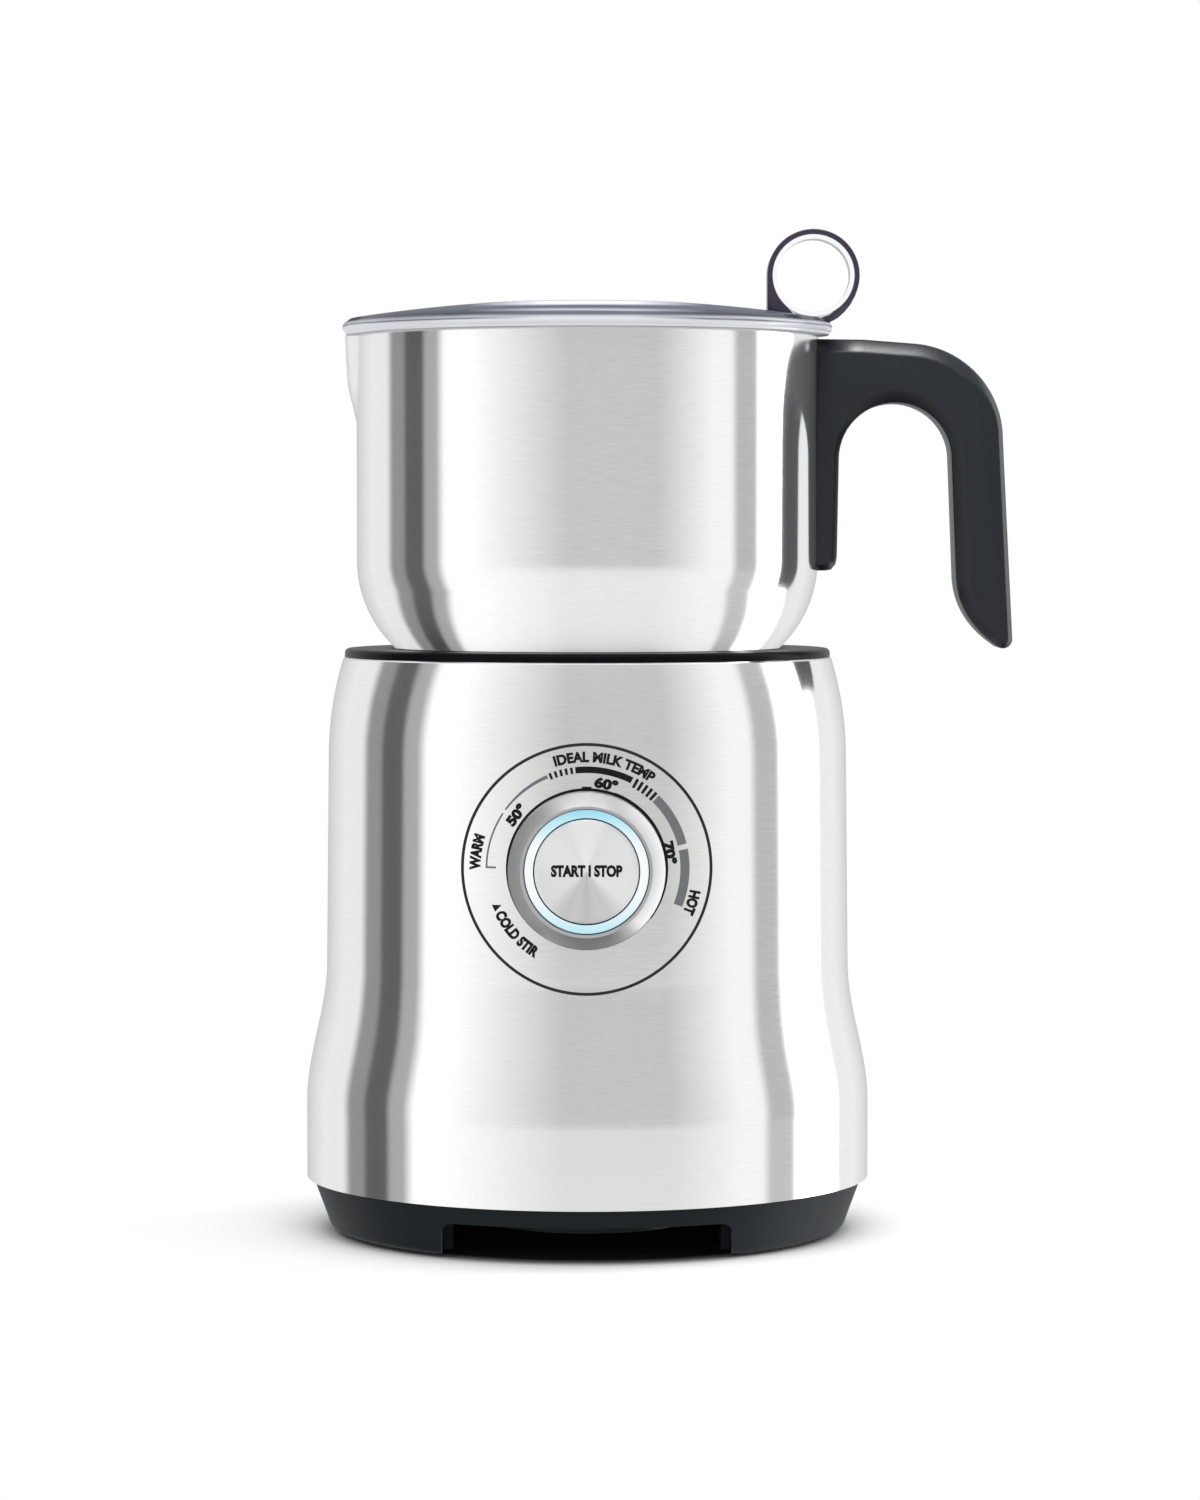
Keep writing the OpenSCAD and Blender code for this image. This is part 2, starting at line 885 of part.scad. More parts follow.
module loop_slab(width) {
    translate([0, width / 2, 0]) rotate([90, 0, 0]) linear_extrude(height = width) children();
}

module at_loop() {
    translate([loop_x, loop_z]) children();
}

module lid_dome() {
    t = 2.2;
    plug_r = jug_in - 1;
    color([0.85, 0.87, 0.92, 0.45]) {
        difference() {
            union() {
                lid_outside();
                disc(plug_r, lid_z - 7, lid_z + 1);
            }
            rotate_extrude() polygon(concat(
                [[0, lid_z - 8], [plug_r - 2, lid_z - 8]],
                [for (r = [59.4, 52, 44, 36]) [r, dome_z(r) - t]],
                [[34, collar_z - t], [0, collar_z - t]]));
            disc(cap_hole_r, lid_z, collar_z + 1);
        }
        difference() {
            loop_slab(ring_w) {
                difference() {
                    union() {
                        at_loop() circle(r = ring_in);
                        loop_foot();
                    }
                    at_loop() circle(r = ring_hole);
                }
            }
            disc(lid_r - 3, lid_z - 1, lid_z + 4);
        }
    }
}

module lid_seal() {
    plug_r = jug_in - 1;
    color([0.75, 0.76, 0.78, 0.8]) {
        rotate_extrude() polygon(concat([[plug_r, lid_z - 5.5]],
            arc([plug_r, lid_z - 4], 0.7, -60, 60, 5), [[plug_r, lid_z - 2.5]]));
    }
}

module finger_ring() {
    left = loop_x - ring_out;
    color([0.23, 0.18, 0.3]) {
        difference() {
            loop_slab(ring_w) {
                difference() {
                    union() {
                        at_loop() circle(r = ring_out);
                        polygon([[left, loop_z], [left, lid_z + 5.2], [loop_x + 4.2, lid_z + 3.3],
                            [loop_x, loop_z]]);
                    }
                    at_loop() circle(r = ring_in);
                    loop_foot();
                }
            }
            lid_outside();
        }
    }
}

module measuring_cap() {
    plug = cap_hole_r - 0.3;
    depth = 9;
    outline = [[0, collar_z - depth], [plug, collar_z - depth], [plug, collar_z - 6],
        [plug - 0.8, collar_z - 6], [plug - 0.8, collar_z - 4], [plug, collar_z - 4], [plug, collar_z],
        [32.8, collar_z], [33, collar_z + 0.2], [22, collar_z + 1], [10, collar_z + 1.45],
        [0, collar_z + 1.55]];
    color([0.85, 0.87, 0.92, 0.45]) {
        difference() {
            rotate_extrude() polygon(outline);
            disc(plug - 2.4, collar_z - depth - 1, collar_z - 1);
        }
    }
}

module cap_seal() {
    plug = cap_hole_r - 0.3;
    color([0.75, 0.76, 0.78, 0.8]) sleeve(plug + 0.1, plug - 0.8, collar_z - 6, collar_z - 4);
}

body_shell();
dial_plate();
dial_gasket();
base_skirt();
bottom_cover();
foot_ring();
cord_gland();
tie_screws();
top_deck();
deck_seal();
inner_frame();
coil_insulator();
induction_coil();
coil_former();
ferrite_bars();
sensor_guide();
motor_bracket();
motor_screws();
motor_can();
motor_end_cap();
motor_bearings();
field_magnets();
fan_housing();
power_board();
power_components();
heat_sink();
control_mount();
control_board();
tact_switch();
encoder_sensor();
ring_leds();
light_ring();
knob_bush();
motor_shaft();
armature();
drive_hub();
drive_magnets();
fan_rotor();
dial_knob();
code_ring();
start_button();
button_spring();
sensor_plunger();
sensor_spring();
jug_body();
jug_base_plate();
whisk_post();
handle_bracket();
jug_handle();
handle_screws();
frothing_disc();
disc_magnets();
lid_dome();
lid_seal();
finger_ring();
measuring_cap();
cap_seal();
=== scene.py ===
"""Looks of the milk frother: brushed-steel base and jug, lit dial, clear lid, charcoal handle.

Outlines are in millimetres and the meshes in metres. Sizes come from the CAD frame's boxes.
"""
import json
import math

import bmesh
import bpy
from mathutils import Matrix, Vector


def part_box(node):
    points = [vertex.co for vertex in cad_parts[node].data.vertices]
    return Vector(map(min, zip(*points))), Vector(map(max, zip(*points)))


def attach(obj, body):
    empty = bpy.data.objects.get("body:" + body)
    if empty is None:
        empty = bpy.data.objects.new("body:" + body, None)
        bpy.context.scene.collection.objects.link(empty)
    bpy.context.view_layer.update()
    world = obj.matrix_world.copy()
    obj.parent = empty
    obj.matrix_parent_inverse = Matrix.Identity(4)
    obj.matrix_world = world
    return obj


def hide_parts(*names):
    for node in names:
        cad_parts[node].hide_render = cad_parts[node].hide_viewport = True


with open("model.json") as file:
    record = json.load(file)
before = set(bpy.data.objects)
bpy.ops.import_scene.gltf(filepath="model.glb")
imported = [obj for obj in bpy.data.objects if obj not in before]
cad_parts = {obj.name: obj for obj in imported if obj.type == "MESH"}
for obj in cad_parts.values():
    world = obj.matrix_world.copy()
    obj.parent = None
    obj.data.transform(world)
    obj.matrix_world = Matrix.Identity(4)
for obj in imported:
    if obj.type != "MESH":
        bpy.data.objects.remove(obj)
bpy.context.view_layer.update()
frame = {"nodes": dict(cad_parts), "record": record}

MM = 0.001


# ---------------------------------------------------------------- sizes from the frame

def low(node):
    """A CAD node's lowest corner, in millimetres."""
    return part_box(node)[0] / MM


def high(node):
    """A CAD node's highest corner, in millimetres."""
    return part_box(node)[1] / MM


STEEL_T = 1.2
CASING_R = high("body_shell").y
CASING_TOP = high("body_shell").z
SKIRT_TOP = low("body_shell").z
WAIST_IN = 5.6
SHOULDER_IN = 3.9
FLARE_LOW = 36
FLARE_HIGH = 74
SHOULDER_LOW = 132
LEAN = 0.0105

DIAL_Z = (low("dial_knob").z + high("dial_knob").z) / 2
PLATE_R = high("dial_plate").x
HOLE_R = PLATE_R + 0.8
KNOB_R = high("dial_knob").x
KNOB_FRONT = -low("dial_knob").y
KNOB_BACK = -high("dial_knob").y
BUTTON_R = high("start_button").x
BUTTON_FRONT = -low("start_button").y
LIGHT_R = high("light_ring").x
LIGHT_FRONT = -low("light_ring").y

DECK_TOP = high("top_deck").z
DECK_R = CASING_R - 10.7
SEAT_Z = low("jug_body").z
JUG_R = high("jug_body").y
JUG_BEND = 33
RIM_Z = high("jug_body").z
FOOT_R = JUG_R - 12.6

LID_R = high("lid_dome").y
RIM_TOP = RIM_Z + 4.2
DOME_H = 5.2
COLLAR_Z = RIM_TOP + 3.55
CAP_R = high("measuring_cap").x
CAP_TOP = high("measuring_cap").z
LOOP_R = high("finger_ring").x - (high("finger_ring").x + low("finger_ring").x) / 2
LOOP_X = (high("finger_ring").x + low("finger_ring").x) / 2
LOOP_Z = high("finger_ring").z - LOOP_R
LOOP_W = 2 * high("finger_ring").y
LOOP_IN = LOOP_R - 1.45
LOOP_HOLE = 10


def limit(t):
    return min(1, max(0, t))


def ease(t):
    return t * t * (3 - 2 * t)


def wall_r(z):
    """Outside radius of the steel casing at height z."""
    flare = WAIST_IN * ease(limit((z - FLARE_LOW) / (FLARE_HIGH - FLARE_LOW)))
    lean = LEAN * max(0, z - FLARE_HIGH)
    shoulder = SHOULDER_IN * limit((z - SHOULDER_LOW) / (CASING_TOP - SHOULDER_LOW)) ** 2
    return CASING_R - flare - lean - shoulder


def dome_z(r):
    """Height of the lid's dome at radius r."""
    return RIM_TOP + DOME_H * (1 - (r / (LID_R - 2)) ** 2)


# ---------------------------------------------------------------- mesh tools

def arc(cx, cy, r, start, end, steps):
    """Points of an arc, from one angle to another in degrees."""
    turn = [math.radians(start + (end - start) * i / steps) for i in range(steps + 1)]
    return [(cx + r * math.cos(a), cy + r * math.sin(a)) for a in turn]


def bend(start, pull, end, steps):
    """Points of a curve from start to end, drawn towards pull."""
    points = []
    for t in spread(0, 1, steps):
        points.append(tuple((1 - t) ** 2 * a + 2 * t * (1 - t) * b + t * t * c
                            for a, b, c in zip(start, pull, end)))
    return points


def spread(a, b, steps):
    return [a + (b - a) * i / steps for i in range(steps + 1)]


def placed(name, mesh):
    """A new object in the scene, with this mesh."""
    obj = bpy.data.objects.new(name, mesh)
    bpy.context.scene.collection.objects.link(obj)
    return obj


def as_object(name, verts, faces, crease=35):
    """A smooth-shaded object with sharp edges, from points in millimetres."""
    mesh = bpy.data.meshes.new(name)
    mesh.from_pydata([Vector(v) * MM for v in verts], [], faces)
    tidy_mesh(mesh, crease)
    return placed(name, mesh)


def tidy_mesh(mesh, crease=35):
    """Joins doubled points, turns faces outwards and shades smooth, up to a crease angle in degrees."""
    bm = bmesh.new()
    bm.from_mesh(mesh)
    bmesh.ops.remove_doubles(bm, verts=bm.verts, dist=1e-7)
    bmesh.ops.recalc_face_normals(bm, faces=bm.faces)
    bm.to_mesh(mesh)
    bm.free()
    mesh.polygons.foreach_set("use_smooth", [True] * len(mesh.polygons))
    mesh.set_sharp_from_angle(angle=math.radians(crease))


def turned(name, outline, place, steps=192, reach=None, crease=35):
    """Turns a closed outline of (radius, height) round an axis. place(r, angle, height) gives the point,
    and reach(r, angle, height) may change a radius from angle to angle."""
    verts, rings = [], []
    for r, h in outline:
        if r < 1e-6:
            verts.append(place(0, 0, h))
            rings.append([len(verts) - 1] * steps)
            continue
        ring = []
        for i in range(steps):
            a = 2 * math.pi * i / steps
            verts.append(place(reach(r, a, h) if reach else r, a, h))
            ring.append(len(verts) - 1)
        rings.append(ring)
    faces = []
    count = len(rings)
    closed = outline[0][0] > 1e-6 or outline[-1][0] > 1e-6
    for k in range(count if closed else count - 1):
        one, two = rings[k], rings[(k + 1) % count]
        for i in range(steps):
            j = (i + 1) % steps
            face = [one[i], one[j], two[j], two[i]]
            face = [v for n, v in enumerate(face) if v not in face[:n]]
            if len(face) > 2:
                faces.append(face)
    return as_object(name, verts, faces, crease)


def upright(r, a, z):
    """A place round the frother's own axis."""
    return (r * math.cos(a), r * math.sin(a), z)


def facing(r, a, out):
    """A place round the dial's axis, out millimetres in front of the frother's axis."""
    return (r * math.cos(a), -out, DIAL_Z + r * math.sin(a))


def shrunk(outline, inset, share):
    """A closed anticlockwise outline of (x, z) with its sides moved in by inset times share(x, z)."""
    result = []
    count = len(outline)
    for i, (x, z) in enumerate(outline):
        before = Vector((x - outline[i - 1][0], z - outline[i - 1][1])).normalized()
        following = outline[(i + 1) % count]
        after = Vector((following[0] - x, following[1] - z)).normalized()
        inward = Vector((-before.y - after.y, before.x + after.x)).normalized()
        reach = inset * share(x, z) / max(0.5, inward.dot(Vector((-before.y, before.x))))
        result.append((x + inward.x * reach, z + inward.y * reach))
    return result


def slab(name, outline, width, edge, share=lambda x, z: 1, crease=35):
    """A closed side outline of (x, z) given a width along Y. edge lists (inset, distance in from the
    side face), from the outline's wall to the side face, and share(x, z) narrows the inset in places."""
    area = sum(a[0] * b[1] - b[0] * a[1] for a, b in zip(outline, outline[1:] + outline[:1]))
    if area < 0:
        outline = outline[::-1]
    half = width / 2
    rings = [(inset, -(half - back)) for inset, back in reversed(edge)]
    rings += [(inset, half - back) for inset, back in edge]
    verts = []
    for inset, y in rings:
        verts += [(x, y, z) for x, z in shrunk(outline, inset, share)]
    count = len(outline)
    faces = [list(range(count))[::-1], list(range(len(verts) - count, len(verts)))]
    for k in range(len(rings) - 1):
        for i in range(count):
            j = (i + 1) % count
            faces.append([k * count + i, k * count + j, (k + 1) * count + j, (k + 1) * count + i])
    return as_object(name, verts, faces, crease)


def rounded(r, steps=5):
    """The edge of a slab, rounded to radius r."""
    return [(r - x, r - y) for x, y in arc(0, 0, r, 0, 90, steps)]


def apply_modifiers(obj):
    graph = bpy.context.evaluated_depsgraph_get()
    mesh = bpy.data.meshes.new_from_object(obj.evaluated_get(graph))
    obj.modifiers.clear()
    obj.data = mesh


def combine(obj, other, operation):
    """Cuts other out of obj, joins it to obj, or keeps what the two share."""
    step = obj.modifiers.new("combine", "BOOLEAN")
    step.object = other
    step.operation = operation
    step.solver = "EXACT"
    apply_modifiers(obj)
    bpy.data.objects.remove(other)
    return obj


def dial_core(r, back=45, front=95, steps=192):
    """A plain core round the dial's axis, for cutting."""
    return turned("core", [(0, back), (r, back), (r, front), (0, front)], facing, steps)


# ---------------------------------------------------------------- material tools

def display(value):
    """Linear light of a display grey from 0 to 1."""
    return value / 12.92 if value < 0.04045 else ((value + 0.055) / 1.055) ** 2.4


def rgb(r, g, b):
    """Linear colour of a display colour given as 0 to 255."""
    return tuple(display(c / 255) for c in (r, g, b))


def link(tree, a, out, b, into):
    tree.links.new(a.outputs[out], b.inputs[into])


def new_tree(name):
    mat = bpy.data.materials.new(name)
    mat.use_nodes = True
    return mat, mat.node_tree, mat.node_tree.nodes["Principled BSDF"]


def fill_ramp(ramp, stops):
    """Sets a colour ramp to stops of (position, colour)."""
    elements = ramp.color_ramp.elements
    elements[0].position = stops[0][0]
    elements[1].position = stops[-1][0]
    for place, colour in stops[1:-1]:
        elements.new(place).color = (*colour, 1)
    elements[0].color = (*stops[0][1], 1)
    elements[-1].color = (*stops[-1][1], 1)


def grain_noise(tree, scale, detail=3):
    """Noise over the object's own coordinates, stretched by a scale for each axis, per metre."""
    coords = tree.nodes.new("ShaderNodeTexCoord")
    stretch = tree.nodes.new("ShaderNodeMapping")
    stretch.inputs["Scale"].default_value = scale
    noise = tree.nodes.new("ShaderNodeTexNoise")
    noise.inputs["Scale"].default_value = 1
    noise.inputs["Detail"].default_value = detail
    link(tree, coords, "Object", stretch, "Vector")
    link(tree, stretch, "Vector", noise, "Vector")
    return noise


def map_range(tree, source, out, start, end, low_value=0, high_value=1):
    """Maps a value between start and end to the span from low_value to high_value."""
    span = tree.nodes.new("ShaderNodeMapRange")
    span.inputs["From Min"].default_value = start
    span.inputs["From Max"].default_value = end
    span.inputs["To Min"].default_value = low_value
    span.inputs["To Max"].default_value = high_value
    link(tree, source, out, span, "Value")
    return span


def spread_value(tree, source, lowest, highest, out="Fac"):
    """Maps a noise's usual span to the values between lowest and highest."""
    return map_range(tree, source, out, 0.3, 0.7, lowest, highest)


def axes(tree, space="Object"):
    """The X, Y and Z of a point in its object's own space, or of a direction in the studio."""
    coords = tree.nodes.new("ShaderNodeTexCoord")
    split = tree.nodes.new("ShaderNodeSeparateXYZ")
    link(tree, coords, space, split, "Vector")
    return split


def maths(tree, operation, *values):
    """A maths node over sockets and plain numbers."""
    step = tree.nodes.new("ShaderNodeMath")
    step.operation = operation
    for socket, value in zip(step.inputs, values):
        if isinstance(value, (int, float)):
            socket.default_value = value
        else:
            tree.links.new(value, socket)
    return step


def turn_share(tree, across, up):
    """An angle from straight up, as 0 half a turn back, 0.5 straight up and 1 half a turn on."""
    return map_range(tree, maths(tree, "ARCTAN2", across, up), "Value", -math.pi, math.pi)


def ramp_over(tree, source, out, stops):
    """The colour of a ramp of (position, colour) that a value runs along."""
    ramp = tree.nodes.new("ShaderNodeValToRGB")
    fill_ramp(ramp, stops)
    link(tree, source, out, ramp, "Fac")
    return ramp.outputs["Color"]


def mixed(tree, factor, one, two, blend="MIX"):
    """A blend of two colours, each a socket, a colour or a grey level."""
    mix = tree.nodes.new("ShaderNodeMix")
    mix.data_type = "RGBA"
    mix.blend_type = blend
    share, first, second = mix.inputs[0], mix.inputs[6], mix.inputs[7]
    if isinstance(factor, (int, float)):
        share.default_value = factor
    else:
        tree.links.new(factor, share)
    for value, socket in ((one, first), (two, second)):
        if isinstance(value, float):
            socket.default_value = (value, value, value, 1)
        elif isinstance(value, tuple):
            socket.default_value = (*value, 1)
        else:
            tree.links.new(value, socket)
    return mix.outputs[2]


def finish(name, colour, rough, grain=(900, 900, 900), mottle=0.06, uneven=0.04, bump=0.1,
           depth=0.00002, **sockets):
    """A procedural finish: colour and roughness vary with a grain, with a fine bump of the same grain."""
    mat, tree, shader = new_tree(name)
    noise = grain_noise(tree, grain)
    tones = ramp_over(tree, noise, "Fac", [(0.3, [c * (1 - mottle) for c in colour]),
                                           (0.7, [min(1, c * (1 + mottle)) for c in colour])])
    tree.links.new(tones, shader.inputs["Base Color"])
    link(tree, spread_value(tree, noise, rough - uneven, rough + uneven), "Result", shader, "Roughness")
    if bump:
        relief = tree.nodes.new("ShaderNodeBump")
        relief.inputs["Strength"].default_value = bump
        relief.inputs["Distance"].default_value = depth
        link(tree, noise, "Fac", relief, "Height")
        link(tree, relief, "Normal", shader, "Normal")
    for socket, value in sockets.items():
        shader.inputs[socket.replace("_", " ")].default_value = value
    return mat


def brushed(name, colour, rough, axis, grain, metallic=1.0, **more):
    """Steel brushed round an axis: highlights spread across the brush lines."""
    mat = finish(name, colour, rough, grain=grain, Metallic=metallic, **more)
    tree = mat.node_tree
    tangent = tree.nodes.new("ShaderNodeTangent")
    tangent.direction_type = "RADIAL"
    tangent.axis = axis
    tree.nodes["Principled BSDF"].inputs["Anisotropic Rotation"].default_value = 0.25
    link(tree, tangent, "Tangent", tree.nodes["Principled BSDF"], "Tangent")
    return mat


# ---------------------------------------------------------------- materials

def lid_finish():
    """Clear plastic, pale from above, with painted refraction over its dome: navy and slate bands by
    height where seen edge on.
    """
    pale = rgb(240, 242, 247)
    mist = rgb(200, 205, 215)
    slate = rgb(95, 100, 115)
    navy = rgb(20, 22, 40)
    mat, tree, shader = new_tree("clear_lid")
    split = axes(tree)
    height = map_range(tree, split, "Z", (RIM_Z + 1.2) * MM, CAP_TOP * MM)
    noise = grain_noise(tree, (18, 18, 300))
    ripple = spread_value(tree, noise, -0.02, 0.02)
    wavy = maths(tree, "ADD", height.outputs["Result"], ripple.outputs["Result"])
    middle = ramp_over(tree, wavy, "Value", [(0.1, pale), (0.2, slate), (0.3, slate), (0.35, mist),
                                             (0.45, slate), (0.55, slate), (0.65, pale), (0.95, pale),
                                             (1, slate)])
    sides = ramp_over(tree, wavy, "Value", [(0.05, pale), (0.1, slate), (0.15, mist), (0.25, navy),
                                            (0.45, slate), (1, slate)])
    aside = maths(tree, "ABSOLUTE", split.outputs["X"])
    to_side = map_range(tree, aside, "Value", 0.012, 0.032)
    painted_refraction_streaks = mixed(tree, to_side.outputs["Result"], middle, sides)
    edge_on = tree.nodes.new("ShaderNodeLayerWeight")
    slanted = map_range(tree, edge_on, "Facing", 0.72, 0.86)
    on_rim = map_range(tree, split, "Z", (RIM_TOP + 0.3) * MM, RIM_TOP * MM)
    painted_streak_mask = maths(tree, "MAXIMUM", slanted.outputs["Result"], on_rim.outputs["Result"])
    # Painted refraction: the navy and slate bands stand in for dark parts seen through the dome, laid on
    # where it is seen edge on and on the rim.
    tree.links.new(mixed(tree, painted_streak_mask.outputs["Value"], pale, painted_refraction_streaks), shader.inputs["Base Color"])
    gloss = map_range(tree, edge_on, "Facing", 0.6, 0.84, 0.5, 0)
    link(tree, gloss, "Result", shader, "Specular IOR Level")
    link(tree, spread_value(tree, noise, 0.05, 0.09), "Result", shader, "Roughness")
    see_through = map_range(tree, painted_streak_mask, "Value", 0, 1, 0.7, 0.2)
    link(tree, see_through, "Result", shader, "Transmission Weight")
    shader.inputs["IOR"].default_value = 1.49
    return mat


def paint_spun_reflection(mat, stops):
    """Painted reflection: darkens a spun metal's colour by direction round the dial, from stops of (clock
    angle, share of colour).
    """
    tree = mat.node_tree
    split = axes(tree)
    up = maths(tree, "SUBTRACT", split.outputs["Z"], DIAL_Z * MM)
    turn = turn_share(tree, split.outputs["X"], up.outputs["Value"])
    share = ramp_over(tree, turn, "Result", [((angle + 180) / 360, [part] * 3) for angle, part in stops])
    colour = tree.nodes["Principled BSDF"].inputs["Base Color"]
    tree.links.new(mixed(tree, 1, colour.links[0].from_socket, share, "MULTIPLY"), colour)


def light_pipe_finish():
    """A milky light pipe that glows cyan at the top and bottom of the ring and white at its sides."""
    cyan = (0.3, 0.72, 0.88)
    pale_cyan = (0.5, 0.82, 0.92)
    white = (0.93, 0.965, 0.975)
    mat, tree, shader = new_tree("lit_ring")
    split = axes(tree)
    height = map_range(tree, split, "Z", (DIAL_Z - LIGHT_R) * MM, (DIAL_Z + LIGHT_R) * MM)
    glow = ramp_over(tree, height, "Result", [(0, pale_cyan), (0.3, white), (0.7, white),
                                              (0.9, pale_cyan), (1, cyan)])
    shader.inputs["Base Color"].default_value = (0.06, 0.065, 0.07, 1)
    tree.links.new(glow, shader.inputs["Emission Color"])
    depth = map_range(tree, split, "Y", -(LIGHT_FRONT - 0.6) * MM, -(LIGHT_FRONT - 0.3) * MM, 0, 0.9)
    link(tree, depth, "Result", shader, "Emission Strength")
    noise = grain_noise(tree, (500, 500, 500))
    link(tree, spread_value(tree, noise, 0.25, 0.4), "Result", shader, "Roughness")
    return mat


ROUND_GRAIN = (220, 220, 5200)
SPUN_GRAIN = (3000, 90, 3000)

STEEL = brushed("brushed_steel", (0.80, 0.80, 0.795), 0.12, "Z", ROUND_GRAIN, 0.9, mottle=0.03,
                uneven=0.03, bump=0.06, Anisotropic=0.9)
JUG_STEEL = brushed("brushed_jug_steel", (0.80, 0.80, 0.80), 0.12, "Z", ROUND_GRAIN, 0.9, mottle=0.03,
                    uneven=0.03, bump=0.06, Anisotropic=0.9)
SPUN = brushed("spun_metal", (0.97, 0.97, 0.97), 0.42, "Y", SPUN_GRAIN, mottle=0.03, bump=0.06,
               Anisotropic=0.95)
SATIN_RIM = brushed("satin_knob_bevel", (0.5, 0.5, 0.505), 0.34, "Y", SPUN_GRAIN, mottle=0.03,
                    bump=0.06, Anisotropic=0.8)
# Painted reflection on the button's spun face: a soft dark sector below its middle.
paint_spun_reflection(SPUN, [(-180, 0.6), (-150, 0.8), (-130, 1), (130, 1), (150, 0.8), (180, 0.6)])
CHARCOAL = finish("charcoal_plastic", rgb(17, 21, 25), 0.34, grain=(1800, 1800, 1800), mottle=0.1,
                  bump=0.15, Specular_IOR_Level=0.28)
SKIRT = finish("skirt_plastic", rgb(24, 31, 34), 0.5, grain=(1800, 1800, 1800), mottle=0.1, bump=0.15,
               Specular_IOR_Level=0.1)
BLACK_GLOSS = finish("black_gloss_plastic", rgb(9, 10, 12), 0.3, mottle=0.08, bump=0.02, uneven=0.02,
                     Specular_IOR_Level=0.05)
BLACK_MATT = finish("black_plastic", rgb(6, 7, 9), 0.45, mottle=0.1, Specular_IOR_Level=0.2)
RUBBER = finish("rubber", rgb(28, 28, 29), 0.75, grain=(1500, 1500, 1500), mottle=0.12, bump=0.3)
PRINT = finish("print_black", rgb(8, 8, 10), 0.6, mottle=0.04, bump=0.02, Specular_IOR_Level=0.2)
PRINT_GREY = finish("print_grey", rgb(112, 113, 117), 0.6, mottle=0.04, bump=0.02,
                    Specular_IOR_Level=0.2)
VIOLET = finish("violet_plastic", rgb(40, 28, 56), 0.2, mottle=0.08, bump=0.02, uneven=0.03,
                Coat_Weight=0.4)
CLEAR = finish("clear_plastic", (0.95, 0.955, 0.98), 0.03, grain=(60, 60, 60), mottle=0.02, uneven=0.01,
               bump=0.02, Transmission_Weight=1.0, IOR=1.49)

SLOT_FINISHES = {
    "casing_steel": STEEL,
    "plate_steel": STEEL,
    "jug_steel": JUG_STEEL,
    "knob_metal": SATIN_RIM,
    "button_metal": SPUN,
    "skirt_plastic": SKIRT,
    "handle_plastic": CHARCOAL,
    "deck_plastic": BLACK_GLOSS,
    "under_plastic": BLACK_MATT,
    "rubber": RUBBER,
    "seal_silicone": finish("seal_silicone", rgb(214, 216, 222), 0.35, mottle=0.05, bump=0.1),
    "lid_clear": lid_finish(),
    "light_pipe": light_pipe_finish(),
    "ring_violet": VIOLET,
    "frame_plastic": finish("glass_filled_nylon", rgb(200, 198, 190), 0.55, mottle=0.06, bump=0.2),
    "heat_plastic": finish("heat_resin", rgb(165, 150, 120), 0.5, mottle=0.08, bump=0.15),
    "stir_plastic": finish("stirrer_plastic", rgb(60, 62, 66), 0.4, mottle=0.06),
    "screw_steel": finish("screw_steel", (0.55, 0.55, 0.56), 0.3, mottle=0.05, Metallic=1.0),
    "copper": finish("copper_litz", (0.72, 0.32, 0.18), 0.3, grain=(300, 300, 3000), mottle=0.2,
                     bump=0.3, Metallic=1.0),
    "bronze": finish("sintered_bronze", (0.55, 0.36, 0.18), 0.45, mottle=0.12, bump=0.2, Metallic=1.0),
    "magnet": finish("ferrite_magnet", rgb(62, 62, 66), 0.55, mottle=0.12, bump=0.2),
    "board": finish("circuit_board", rgb(30, 92, 58), 0.35, grain=(400, 400, 400), mottle=0.25,
                    bump=0.1),
    "parts": finish("component_bodies", rgb(40, 44, 60), 0.4, grain=(120, 120, 120), mottle=0.4),
    "led": finish("led_lens", rgb(235, 240, 225), 0.2, mottle=0.05),
    "sink": finish("aluminium_extrusion", (0.6, 0.61, 0.63), 0.4, grain=(40, 2500, 40), mottle=0.08,
                   bump=0.2, Metallic=1.0),
}


def dress(obj, body, slot, *nodes, mat=None):
    """Gives a piece the material of its slot, or the one given, puts it on its body and hides the CAD
    nodes it stands for.
    """
    obj.data.materials.clear()
    obj.data.materials.append(mat or SLOT_FINISHES[slot])
    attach(obj, body)
    if nodes:
        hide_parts(*nodes)
    return obj


# ---------------------------------------------------------------- carried-over CAD nodes

for entry in frame["record"]["subparts"]:
    node = frame["nodes"][entry["node"]]
    node.data.materials.clear()
    node.data.materials.append(SLOT_FINISHES[entry["material_slot"]])


# ---------------------------------------------------------------- base: casing and dial plate

def wall_outline(inset_out, inset_in):
    """The casing wall's section between two insets from its outside."""
    heights = spread(SKIRT_TOP, FLARE_LOW, 8) + spread(FLARE_LOW + 1, FLARE_HIGH, 30)
    heights += spread(FLARE_HIGH + 3, SHOULDER_LOW, 16) + spread(SHOULDER_LOW + 2, CASING_TOP - 1, 16)
    outer = [(wall_r(z) - inset_out, z) for z in heights]
    lip = arc(wall_r(CASING_TOP - 1) - inset_out - 1, CASING_TOP - 1, 1, 0, 90, 5)[1:]
    inner = [(wall_r(z) - inset_in, z) for z in reversed(heights)]
    return outer + lip + inner


def wall_normal(point):
    """The true outward direction of the casing at a point on its outside."""
    z = point.z / MM
    slope = (wall_r(z + 0.01) - wall_r(z - 0.01)) / 0.02
    around = Vector((point.x, point.y, 0)).normalized()
    return Vector((around.x, around.y, -slope)).normalized()


